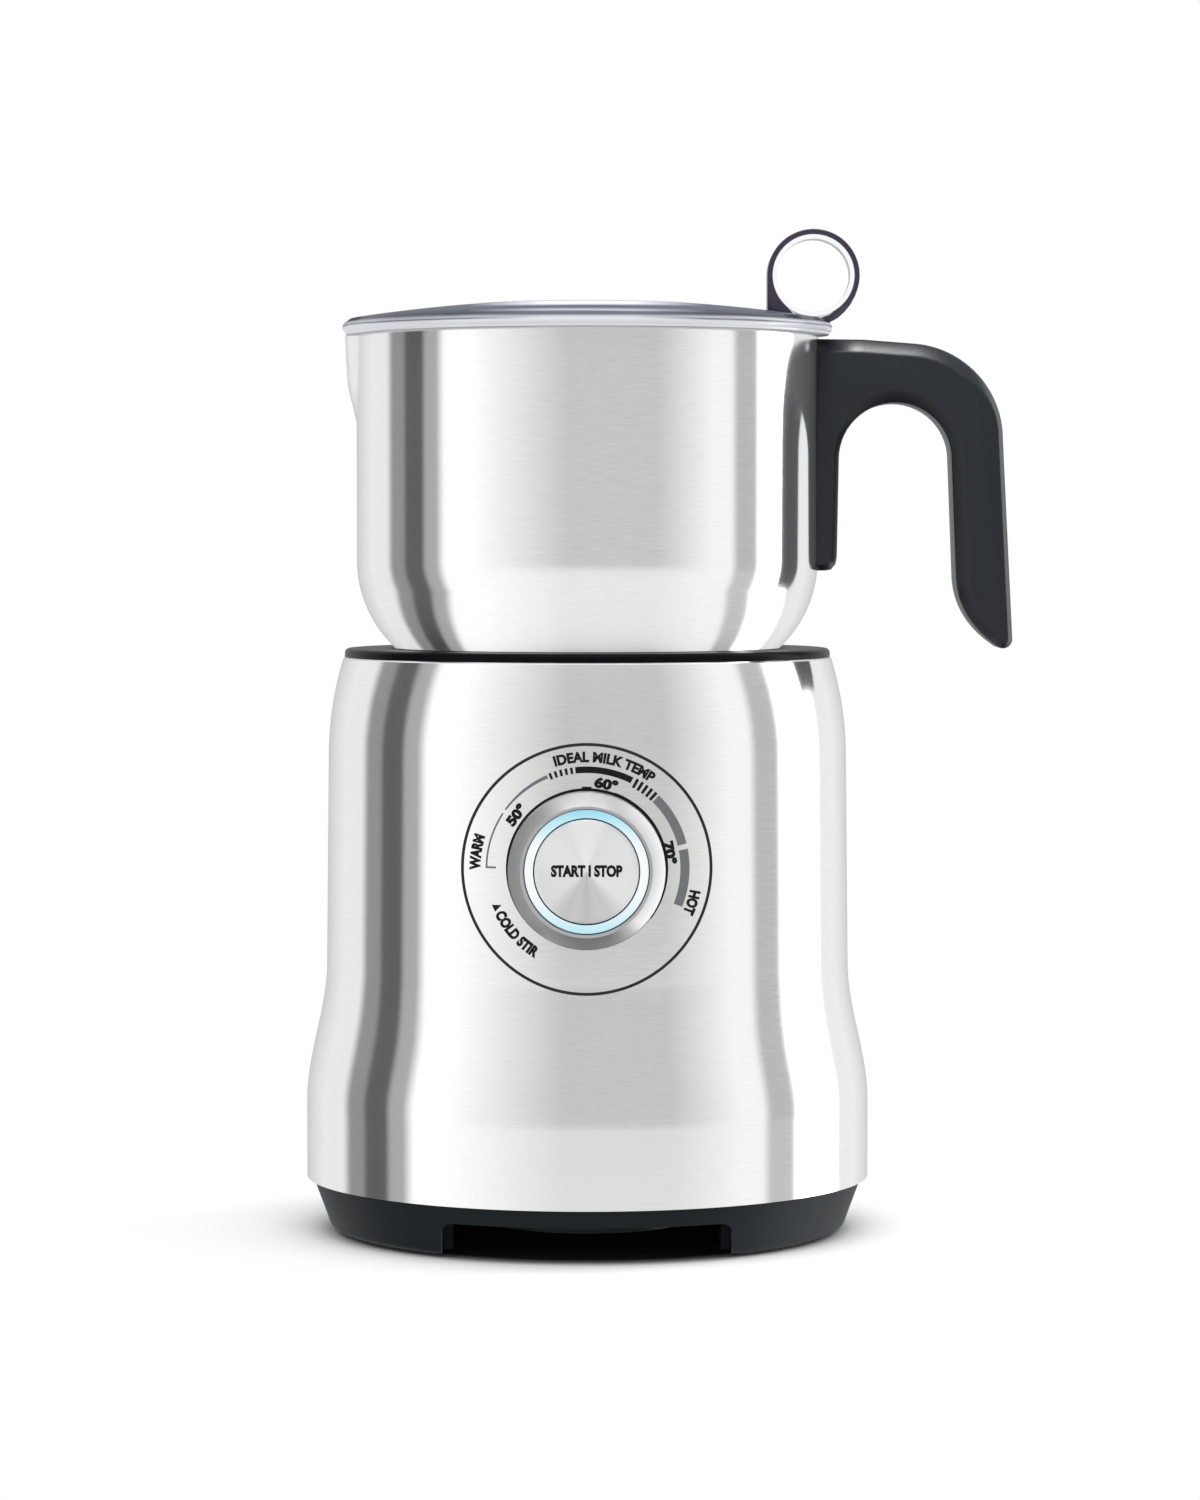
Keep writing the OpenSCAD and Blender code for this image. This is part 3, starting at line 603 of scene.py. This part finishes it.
def true_wall_shading(obj):
    """Sets exact normals on the casing's outside, so a cut edge leaves reflections unbroken."""
    mesh = obj.data
    mesh.polygons.foreach_set("use_smooth", [True] * len(mesh.polygons))
    normals = [None] * len(mesh.loops)
    for face in mesh.polygons:
        for index in face.loop_indices:
            point = mesh.vertices[mesh.loops[index].vertex_index].co
            off = math.hypot(point.x, point.y) / MM - wall_r(point.z / MM)
            exact = wall_normal(point)
            on_wall = abs(off) < 0.1 and face.normal.dot(exact) > 0.9
            normals[index] = exact if on_wall else face.normal.copy()
    mesh.normals_split_custom_set(normals)


def casing():
    obj = turned("casing", wall_outline(0, STEEL_T), upright, 288)
    combine(obj, dial_core(HOLE_R), "DIFFERENCE")
    true_wall_shading(obj)
    dress(obj, "base", "casing_steel", "body_shell")


def dial_plate():
    obj = turned("plate", wall_outline(0, STEEL_T), upright, 288)
    combine(obj, dial_core(PLATE_R), "INTERSECT")
    combine(obj, dial_core(KNOB_R + 0.6), "DIFFERENCE")
    true_wall_shading(obj)
    dress(obj, "base", "plate_steel", "dial_plate")


def top_deck():
    edge = 1.2
    lap = CASING_TOP - 10
    locator_r = 63
    under = SEAT_Z - 2.2
    seat_r = JUG_R - 9.4
    outline = [(0, under), (61, under), (61, lap), (locator_r, lap), (locator_r, CASING_TOP),
               (DECK_R, CASING_TOP)]
    outline += arc(DECK_R - edge, DECK_TOP - edge, edge, 0, 90, 6)
    outline += arc(seat_r + 1.5, DECK_TOP - 1.5, 1.5, 90, 180, 6)
    outline += [(seat_r, SEAT_Z), (0, SEAT_Z)]
    obj = turned("deck", outline, upright)
    # left out of reflections, so the jug's bend doesn't mirror it
    obj.visible_glossy = False
    dress(obj, "base", "deck_plastic", "top_deck")


casing()
dial_plate()
top_deck()


# ---------------------------------------------------------------- dial ring, light and button

def dial_ring():
    bore = 17.85
    outline = [(bore, KNOB_BACK), (KNOB_R, KNOB_BACK)]
    outline += arc(KNOB_R - 0.3, KNOB_FRONT - 4.1, 0.3, 0, 45, 3)
    outline += arc(17.1, KNOB_FRONT - 0.3, 0.3, 45, 90, 3)
    outline += [(16.5, KNOB_FRONT), (16.5, KNOB_FRONT - 3.8), (bore, KNOB_FRONT - 3.8)]
    obj = turned("dial_ring", outline, facing, 256, crease=25)
    dress(obj, "dial", "knob_metal", "dial_knob")


def push_button():
    face = BUTTON_FRONT
    stem_r = 3.5
    stem_end = high("start_button").y
    outline = [(0, -stem_end), (stem_r, -stem_end), (stem_r, face - 4), (BUTTON_R, face - 4)]
    outline += arc(BUTTON_R - 0.5, face - 0.5, 0.5, 0, 90, 5)
    outline += [(BUTTON_R - 1, face)] + [(r, face - 0.6 + 0.6 * (r / (BUTTON_R - 1)) ** 2)
                                         for r in spread(BUTTON_R - 1.5, 0, 12)]
    obj = turned("push_button", outline, facing, 256)
    dress(obj, "button", "button_metal", "start_button")


def lit_ring():
    inner = LIGHT_R - 2.2
    back = -high("light_ring").y
    stem_hole = 3.58
    outline = [(inner, back + 1.5), (stem_hole, back + 1.5), (stem_hole, back), (LIGHT_R, back)]
    outline += arc(LIGHT_R - 0.4, LIGHT_FRONT - 0.4, 0.4, 0, 90, 4)
    outline += arc(inner + 0.4, LIGHT_FRONT - 0.4, 0.4, 90, 180, 4)
    obj = turned("lit_pipe", outline, facing, 256)
    dress(obj, "base", "light_pipe", "light_ring")


dial_ring()
push_button()
lit_ring()


# ---------------------------------------------------------------- dial print

PRINT_FACE = 0.05
PRINT_BACK = -0.1
BEVEL_IN = 17
BEVEL_DEPTH = 4.2


def on_wall(x, z, lift):
    """The point on the casing in front of (x, z) from the dial's middle, lifted off the steel."""
    height = DIAL_Z + z
    return (x, -math.sqrt(wall_r(height) ** 2 - x * x) - lift, height)


def on_button(x, z, lift):
    """The same on the button's hollowed face."""
    sink = 0.6 - 0.6 * (math.hypot(x, z) / (BUTTON_R - 1)) ** 2
    return (x, -(BUTTON_FRONT - sink) - lift, DIAL_Z + z)


def on_bevel(x, z, lift):
    """The same on the turning ring's bevel."""
    slope = BEVEL_DEPTH / (KNOB_R - BEVEL_IN)
    return (x, -(KNOB_FRONT - (math.hypot(x, z) - BEVEL_IN) * slope) - lift, DIAL_Z + z)


def clock(angle):
    """Unit direction at an angle clockwise from 12 o'clock."""
    a = math.radians(angle)
    return math.sin(a), math.cos(a)


def band(start, end, r_start, r_end, width_start, width_end):
    """A strip along the dial, from one clock angle to another, as quads of (x, z)."""
    steps = max(1, round(abs(end - start) / 1.5))
    strip = []
    for i in range(steps + 1):
        t = i / steps
        dx, dz = clock(start + (end - start) * t)
        r = r_start + (r_end - r_start) * t
        half = (width_start + (width_end - width_start) * t) / 2
        strip.append(((dx * (r - half), dz * (r - half)), (dx * (r + half), dz * (r + half))))
    return [[a[0], a[1], b[1], b[0]] for a, b in zip(strip, strip[1:])]


def printed(name, quads, surface, mat, body):
    """Closed thin print made of quads of (x, z), laid on a surface."""
    bm = bmesh.new()
    for quad in quads:
        top = [bm.verts.new(Vector(surface(x, z, PRINT_FACE)) * MM) for x, z in quad]
        under = [bm.verts.new(Vector(surface(x, z, PRINT_BACK)) * MM) for x, z in quad]
        bm.faces.new(top)
        bm.faces.new(under[::-1])
        for i in range(len(quad)):
            j = (i + 1) % len(quad)
            bm.faces.new([top[j], top[i], under[i], under[j]])
    mesh = bpy.data.meshes.new(name)
    bm.to_mesh(mesh)
    bm.free()
    obj = placed(name, mesh)
    obj.data.materials.append(mat)
    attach(obj, body)
    return obj


def lettering(name, text, size, r, angle, surface, body, flip=False, narrow=0.8, arched=False,
              heavy=0.062):
    """Print of a word. It runs round the dial at radius r where arched, or lies straight. flip turns its
    feet outwards, narrow scales its width, and heavy thickens its strokes as a share of its size."""
    curve = bpy.data.curves.new(name, "FONT")
    curve.body = text
    curve.size = size
    curve.align_x = "CENTER"
    curve.align_y = "CENTER"
    curve.offset = size * heavy
    curve.extrude = 0.5
    curve.resolution_u = 4
    plain = bpy.data.objects.new(name, curve)
    bpy.context.scene.collection.objects.link(plain)
    graph = bpy.context.evaluated_depsgraph_get()
    mesh = bpy.data.meshes.new_from_object(plain.evaluated_get(graph))
    bpy.data.objects.remove(plain)
    for vert in mesh.vertices:
        u, v, w = vert.co
        u *= narrow
        if arched:
            turn = angle + math.degrees((-u if flip else u) / r)
            dx, dz = clock(turn)
            out = r - v if flip else r + v
            x = dx * out
            z = dz * out
        else:
            dx, dz = clock(angle)
            x = dx * (r + v) + dz * u
            z = dz * (r + v) - dx * u
        vert.co = Vector(surface(x, z, PRINT_FACE if w > 0 else PRINT_BACK)) * MM
    tidy_mesh(mesh, 30)
    obj = placed(name, mesh)
    obj.data.materials.append(PRINT)
    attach(obj, body)
    return obj


def dial_print():
    """The scale, the black painted shadow line round the knob, the fixed index at its top, and the
    lettering.
    """
    black = band(-6.5, 27, 26.2, 26.2, 1.7, 1.7)
    for i in range(5):
        black += band(-9.4 - 3.1 * i, -7.9 - 3.1 * i, 26.2, 26.2, 1.7, 1.7)
        black += band(28.8 + 3.2 * i, 30.5 + 3.2 * i, 25.9, 25.9, 2.6, 2.6)
    black += band(-3.4, 3.4, KNOB_R + 0.8, KNOB_R + 0.8, 0.7, 0.7)
    # Painted shadow: a black line round the knob's foot, where the knob shades the plate, open at the
    # bottom.
    black += band(-140, 20, KNOB_R + 0.4, KNOB_R + 0.4, 0.4, 0.75)
    black += band(20, 128, KNOB_R + 0.45, KNOB_R + 0.45, 0.9, 0.7)
    printed("dial_marks_and_knob_shadow", black, on_wall, PRINT, "base")
    grey = band(44.5, 76, 25.9, 25.9, 2.4, 2.4) + band(79, 112, 25.9, 25.9, 2.4, 2.4)
    grey += band(-23, -54, 26.4, 26.4, 0.95, 0.45)
    grey += band(-56.5, -90, 26.4, 26.4, 0.45, 0.45)
    grey += band(-88.8, -90, 25.2, 25.2, 2.6, 2.6)
    printed("dial_bands", grey, on_wall, PRINT_GREY, "base")
    tip = [(-25, -9.6), (-24.1, -11.4), (-22.4, -9.6)]
    printed("cold_arrow", [tip], on_wall, PRINT, "base")
    mark = [(-0.15, 17.4), (0.15, 17.4), (0.15, 20.3), (-0.15, 20.3)]
    printed("dial_ring_mark", [mark], on_bevel, PRINT_GREY, "dial")
    for word, r, angle in (("50°", 23.2, -52.5), ("60°", 22.8, 13), ("70°", 22.1, 79.3)):
        lettering("mark_" + word[:2], word, 3.5, r, angle, on_wall, "base", narrow=1.26, heavy=0.065)
    for word, r, angle in (("WARM", 29.3, -81.5), ("HOT", 29.1, 108)):
        lettering("word_" + word.lower(), word, 3.7, r, angle, on_wall, "base", arched=True)
    lettering("word_ideal", "IDEAL MILK TEMP", 3.6, 29.4, 9.6, on_wall, "base", narrow=0.98, arched=True,
              heavy=0.05)
    lettering("word_cold", "COLD STIR", 3.7, 25.8, 227.3, on_wall, "base", flip=True, arched=True)
    lettering("word_start", "START I STOP", 3.9, 0, 0, on_button, "button", narrow=0.77, heavy=0.055)


dial_print()


# ---------------------------------------------------------------- jug

SPOUT_AXIS = JUG_R - 12.8
SPOUT_CURVE = [(222, 10.0), (224.7, 12.8), (227, 13.6), (230, 14.6), (233.5, 15.3), (240, 15.7),
               (RIM_Z, 16.0)]
SPOUT_BLEND = 2.2


def spout_r(z):
    """Radius of the spout's own circle at height z."""
    for (z0, r0), (z1, r1) in zip(SPOUT_CURVE, SPOUT_CURVE[1:]):
        if z <= z1:
            return r0 + (r1 - r0) * limit((z - z0) / (z1 - z0))
    return SPOUT_CURVE[-1][1]


def jug_reach(r, a, z):
    """Radius of the jug's wall with the spout drawn out on the left."""
    if z < SPOUT_CURVE[0][0] or r < JUG_R - 2 * STEEL_T:
        return r
    off = a - math.pi
    wall = JUG_R - r
    ball = (spout_r(z) - wall) ** 2 - (SPOUT_AXIS * math.sin(off)) ** 2
    if ball <= 0 or math.cos(off) < 0:
        return r
    spout = SPOUT_AXIS * math.cos(off) + math.sqrt(ball)
    blend = max(0, SPOUT_BLEND - abs(r - spout)) / SPOUT_BLEND
    return max(r, spout) + blend * blend * SPOUT_BLEND / 4


def level_bend_shading(obj, bottom, top):
    """Holds the normals of the outer bend near level, so it mirrors the studio and not the deck."""
    mesh = obj.data
    normals = [corner.vector.copy() for corner in mesh.corner_normals]
    for index, normal in enumerate(normals):
        point = mesh.vertices[mesh.loops[index].vertex_index].co
        outward = point.x * normal.x + point.y * normal.y > 0
        steepest = -math.sin(math.radians(2 + 18 * limit((point.z - bottom) / (top - bottom))))
        if outward and bottom <= point.z <= top and normal.z < steepest:
            around = Vector((normal.x, normal.y, 0)).normalized() * math.sqrt(1 - steepest ** 2)
            normals[index] = Vector((around.x, around.y, steepest))
    mesh.normals_split_custom_set(normals)


def jug():
    bend_z = SEAT_Z + 31
    bend_r = JUG_R - JUG_BEND
    waist_r = 52.7
    waist_z = bend_z - math.sqrt(JUG_BEND ** 2 - (waist_r - bend_r) ** 2)
    waist_turn = math.degrees(math.asin((bend_z - waist_z) / JUG_BEND))
    outline = [(0, SEAT_Z + 3), (49, SEAT_Z + 3), (49, SEAT_Z)]
    outline += arc(FOOT_R - 0.6, SEAT_Z + 0.6, 0.6, -90, 0, 4)
    outline += [(FOOT_R, waist_z)]
    outline += arc(bend_r, bend_z, JUG_BEND, -waist_turn, 0, 40)
    spout_z = SPOUT_CURVE[0][0]
    heights = spread(bend_z + 4, spout_z, 10) + spread(spout_z + 0.5, RIM_Z - 0.6, 40)
    outline += [(JUG_R, z) for z in heights]
    outline += arc(JUG_R - STEEL_T / 2, RIM_Z - STEEL_T / 2, STEEL_T / 2, 0, 180, 8)[1:]
    outline += [(JUG_R - STEEL_T, z) for z in reversed(heights[1:])]
    floor_z = SEAT_Z + 4.2
    floor_r = JUG_BEND - STEEL_T
    floor_turn = math.degrees(math.asin((bend_z - floor_z) / floor_r))
    outline += arc(bend_r, bend_z, floor_r, 0, -floor_turn, 30)
    outline += [(0, floor_z)]
    obj = turned("jug_shell", outline, upright, 360, jug_reach)
    level_bend_shading(obj, waist_z * MM, bend_z * MM)
    dress(obj, "jug", "jug_steel", "jug_body")


def handle():
    outline = [(60, 182.2), (60, 245.7), (76, 245.5)]
    outline += arc(87.8, 218.2, 26.3, 86, 0, 24)
    outline += arc(114.3, 163.4, 2.6, 10, -123, 12)
    outline += bend((112.8, 161.3), (102, 168.5), (101.2, 180), 14)[1:]
    outline += arc(84.5, 212.8, 15.4, 0, 180, 28)
    outline += [(68.6, 186), (68.2, 184), (67, 182.5), (65.5, 182.2)]
    return outline


def chamfer_share(x, z):
    """How much of the full chamfer the handle has at a place on its outline."""
    outer = 0.6 * limit((x - 104) / 9)
    leg = 0.55 * limit((74 - x) / 5) * limit((235 - z) / 5)
    return 1 - outer - leg


def jug_handle():
    width = 2 * high("jug_handle").y
    chamfer = [(0, 2.9), (0.06, 2.4), (0.22, 2), (0.5, 1.7), (2.9, 0.4), (3.3, 0.2), (3.7, 0.06),
               (4.1, 0)]
    obj = slab("grip", handle(), width, chamfer, chamfer_share, crease=60)
    for vert in obj.data.vertices:
        in_wall = math.sqrt((JUG_R - STEEL_T / 2) ** 2 - (vert.co.y / MM) ** 2)
        vert.co.x = max(vert.co.x, in_wall * MM)
    dress(obj, "jug", "handle_plastic", "jug_handle")


jug()
jug_handle()


# ---------------------------------------------------------------- lid, finger ring and cap

def lid():
    wall = 2.2
    plug_r = JUG_R - STEEL_T - 1
    hole_r = 27.2
    outline = [(hole_r, COLLAR_Z - wall), (34, COLLAR_Z - wall)]
    outline += [(r, dome_z(r) - wall) for r in spread(37, plug_r - 2, 16)]
    outline += [(plug_r - 2, RIM_Z - 7), (plug_r, RIM_Z - 7), (plug_r, RIM_Z), (LID_R - 0.9, RIM_Z)]
    outline += arc(LID_R - 1.6, RIM_Z + 1.9, 1.6, -60, 60, 10)
    outline += [(LID_R - 2, RIM_TOP)] + [(r, dome_z(r)) for r in spread(LID_R - 3, 36, 20)]
    outline += [(34.4, COLLAR_Z), (hole_r, COLLAR_Z)]
    obj = turned("clear_lid", outline, upright, 256, crease=25)
    dress(obj, "lid", "lid_clear", "lid_dome")


def clear_loop():
    """The loop's clear inner wall and its foot on the lid's rim."""
    inner = LOOP_HOLE
    wall = [(LOOP_IN - 0.02, -LOOP_W / 2 + 0.3), (LOOP_IN - 0.02, LOOP_W / 2 - 0.3)]
    wall += [(inner, LOOP_W / 2 - 0.3), (inner, -LOOP_W / 2 + 0.3)]
    obj = turned("clear_loop", wall, around_loop, 128)
    dress(obj, "lid", "lid_clear", mat=CLEAR)
    foot = [(LOOP_X - LOOP_R, RIM_Z + 4), (LOOP_X - LOOP_R, RIM_Z + 6.7), (LOOP_X - 5.3, RIM_Z + 5.5)]
    foot += arc(LOOP_X, LOOP_Z, LOOP_IN + 0.1, 248, 272, 6)
    foot += [(LOOP_X + 4.2, RIM_Z + 3.6)]
    base = slab("clear_loop_foot", foot, LOOP_W - 0.4, rounded(0.2, 3))
    dress(base, "lid", "lid_clear", mat=CLEAR)


def around_loop(r, a, y):
    return (LOOP_X + r * math.cos(a), y, LOOP_Z + r * math.sin(a))


def ring_cover():
    """The dark cover round the loop: straight on its left, and thicker where it meets the rim."""
    outline = [(LOOP_X + r * math.cos(math.radians(a)), LOOP_Z + r * math.sin(math.radians(a)))
               for a, r in ((-71, LOOP_R + 0.9), (-60, LOOP_R + 0.75), (-50, LOOP_R + 0.5),
                            (-38, LOOP_R + 0.25), (-26, LOOP_R + 0.08))]
    outline += arc(LOOP_X, LOOP_Z, LOOP_R, -18, 180, 66)
    outline += [(LOOP_X - LOOP_R, RIM_Z + 6.7), (LOOP_X - 5.3, RIM_Z + 5.5)]
    outline += arc(LOOP_X, LOOP_Z, LOOP_IN, 225, -50, 92)
    outline += [(LOOP_X + 4.4, LOOP_Z - 10.7), (LOOP_X + 0.9, LOOP_Z - 12)]
    obj = slab("ring_cover", outline, LOOP_W, rounded(0.3, 3))
    dress(obj, "lid", "ring_violet", "finger_ring")


def cap():
    plug = 26.9
    depth = 9
    outline = [(0, COLLAR_Z - 1.6), (plug - 2.4, COLLAR_Z - 1.6), (plug - 2.4, COLLAR_Z - depth),
               (plug, COLLAR_Z - depth), (plug, COLLAR_Z - 6), (plug - 0.8, COLLAR_Z - 6),
               (plug - 0.8, COLLAR_Z - 4), (plug, COLLAR_Z - 4), (plug, COLLAR_Z + 0.02),
               (CAP_R - 0.3, COLLAR_Z + 0.02)]
    outline += arc(CAP_R - 0.2, COLLAR_Z + 0.2, 0.2, -60, 80, 6)
    outline += [(r, CAP_TOP - 1.2 * (r / CAP_R) ** 2) for r in spread(CAP_R - 1, 0, 12)]
    dress(turned("clear_cap", outline, upright, 256, crease=25), "cap", "lid_clear", "measuring_cap")


lid()
clear_loop()
ring_cover()
cap()


# ---------------------------------------------------------------- camera, floor and light

EYE = Vector((0.0035, -1.330, 0.1934))
AIM = Vector((0.0035, 0, 0.1325))

camera_data = bpy.data.cameras.new("camera")
camera_data.sensor_width = 36
camera_data.lens = 115.4
camera = bpy.data.objects.new("camera", camera_data)
camera.location = EYE
camera.rotation_euler = (AIM - EYE).to_track_quat("-Z", "Y").to_euler()
bpy.context.scene.collection.objects.link(camera)
bpy.context.scene.camera = camera
bpy.context.scene.view_settings.view_transform = "Standard"


def studio_floor():
    """A pale floor disc with a dark painted shadow under the object, that fades to plain white away from
    it.
    """
    radius = 3000
    fade_end = 0.19
    dark = (0.04, 0.04, 0.04)
    pale = (0.95, 0.95, 0.95)
    obj = turned("studio_floor", [(0, 0), (radius, 0), (radius, -2), (0, -2)], upright, 96)
    mat, tree, shader = new_tree("studio_floor")
    shader.inputs["Roughness"].default_value = 0.8
    shader.inputs["Specular IOR Level"].default_value = 0
    shader.inputs["Emission Color"].default_value = (1, 1, 1, 1)
    coords = tree.nodes.new("ShaderNodeTexCoord")
    length = tree.nodes.new("ShaderNodeVectorMath")
    length.operation = "LENGTH"
    link(tree, coords, "Object", length, 0)
    glow = map_range(tree, length, "Value", 0.07, fade_end)
    link(tree, glow, "Result", shader, "Emission Strength")
    reach = map_range(tree, length, "Value", 0, fade_end)
    # Painted shadow: the floor's colour is dark under the object, out to about a third of the fade.
    floor_colour_with_painted_shadow = ramp_over(tree, reach, "Result", [(0, dark), (0.33, dark), (0.39, pale), (1, (0, 0, 0))])
    tree.links.new(floor_colour_with_painted_shadow, shader.inputs["Base Color"])
    obj.data.materials.append(mat)
    obj.visible_glossy = False


# The studio round the object: where each panel starts and ends, in degrees from the camera
# and negative to the left, and its brightness seen level and then seen from just above the worktop,
# where 1 is the display's white. Light blends across the gaps between panels.
PANELS = [
    (-180, -175, 0.7, 0.7),     # rear wall, left
    (-135, -118, 0.9, 0.9),     # rear soft box, left
    (-113, -104, 0.55, 0.55),   # grey screen
    (-101, -90, 0.35, 0.35),    # dark gap
    (-87, -80, 0.65, 0.65),     # grey screen
    (-75, -60, 1, 1),           # soft box, left
    (-10, 35, 0.75, 0.9),       # backdrop behind the camera
    (65, 76, 0.95, 0.95),       # soft box, right
    (80, 92, 0.7, 0.75),        # grey panel
    (98, 120, 1.5, 1.5),        # bright box
    (125, 140, 0.9, 0.9),       # side wall, right
    (175, 180, 0.7, 0.7),       # rear wall, right
]
LEVEL = 2
FROM_WORKTOP = 3
STEEL_SHINE = 0.72
STEEL_HAZE = 0.065
CEILING = 1.15
UNDERSIDE = 0.06


def by_height(tree, split, start, end):
    """A factor that goes from 0 to 1 as a direction's height goes from start to end."""
    return map_range(tree, split, "Z", start, end).outputs["Result"]


def studio_ring(tree, turn, column):
    """The studio's light round the object, from one brightness column of the panels."""
    stops = []
    for panel in PANELS:
        light = max(0.02, display(panel[column]) - STEEL_HAZE) / STEEL_SHINE
        stops += [((edge + 180) / 360, [light] * 3) for edge in panel[:2]]
    return ramp_over(tree, turn, "Result", stops)


def studio_world():
    """The studio as the world's light. The camera and clear parts see plain white in its place."""
    world = bpy.data.worlds.new("studio")
    bpy.context.scene.world = world
    world.use_nodes = True
    tree = world.node_tree
    split = axes(tree, "Generated")
    toward = maths(tree, "MULTIPLY", split.outputs["Y"], -1)
    turn = turn_share(tree, split.outputs["X"], toward.outputs["Value"])
    light = mixed(tree, by_height(tree, split, -0.08, -0.14), studio_ring(tree, turn, LEVEL),
                  studio_ring(tree, turn, FROM_WORKTOP))
    light = mixed(tree, by_height(tree, split, 0.75, 0.92), light, CEILING)
    light = mixed(tree, by_height(tree, split, -0.75, -0.93), light, UNDERSIDE)
    path = tree.nodes.new("ShaderNodeLightPath")
    clear = maths(tree, "MAXIMUM", path.outputs["Is Camera Ray"], path.outputs["Is Transmission Ray"])
    seen = mixed(tree, clear.outputs["Value"], light, 1.0)
    tree.links.new(seen, tree.nodes["Background"].inputs["Color"])


def softbox(name, place, aim, width, height, radiance, only=None):
    """A soft rectangular light of an even brightness, in metres, on everything or on one piece only."""
    data = bpy.data.lights.new(name, "AREA")
    data.shape = "RECTANGLE"
    data.size = width
    data.size_y = height
    data.energy = radiance * math.pi * width * height
    obj = bpy.data.objects.new(name, data)
    obj.location = place
    obj.rotation_euler = (Vector(aim) - Vector(place)).to_track_quat("-Z", "Y").to_euler()
    bpy.context.scene.collection.objects.link(obj)
    if only:
        lit = bpy.data.collections.new(name + "_lit")
        lit.objects.link(only)
        obj.light_linking.receiver_collection = lit


softbox("high_front_box", (0, -0.9, 1.55), (0, 0, 0.2), 1.2, 0.4, 5)
softbox("handle_box", (-0.05, -0.9, 1.55), (0, 0, 0.2), 0.6, 0.5, 45, bpy.data.objects["grip"])
studio_floor()
studio_world()
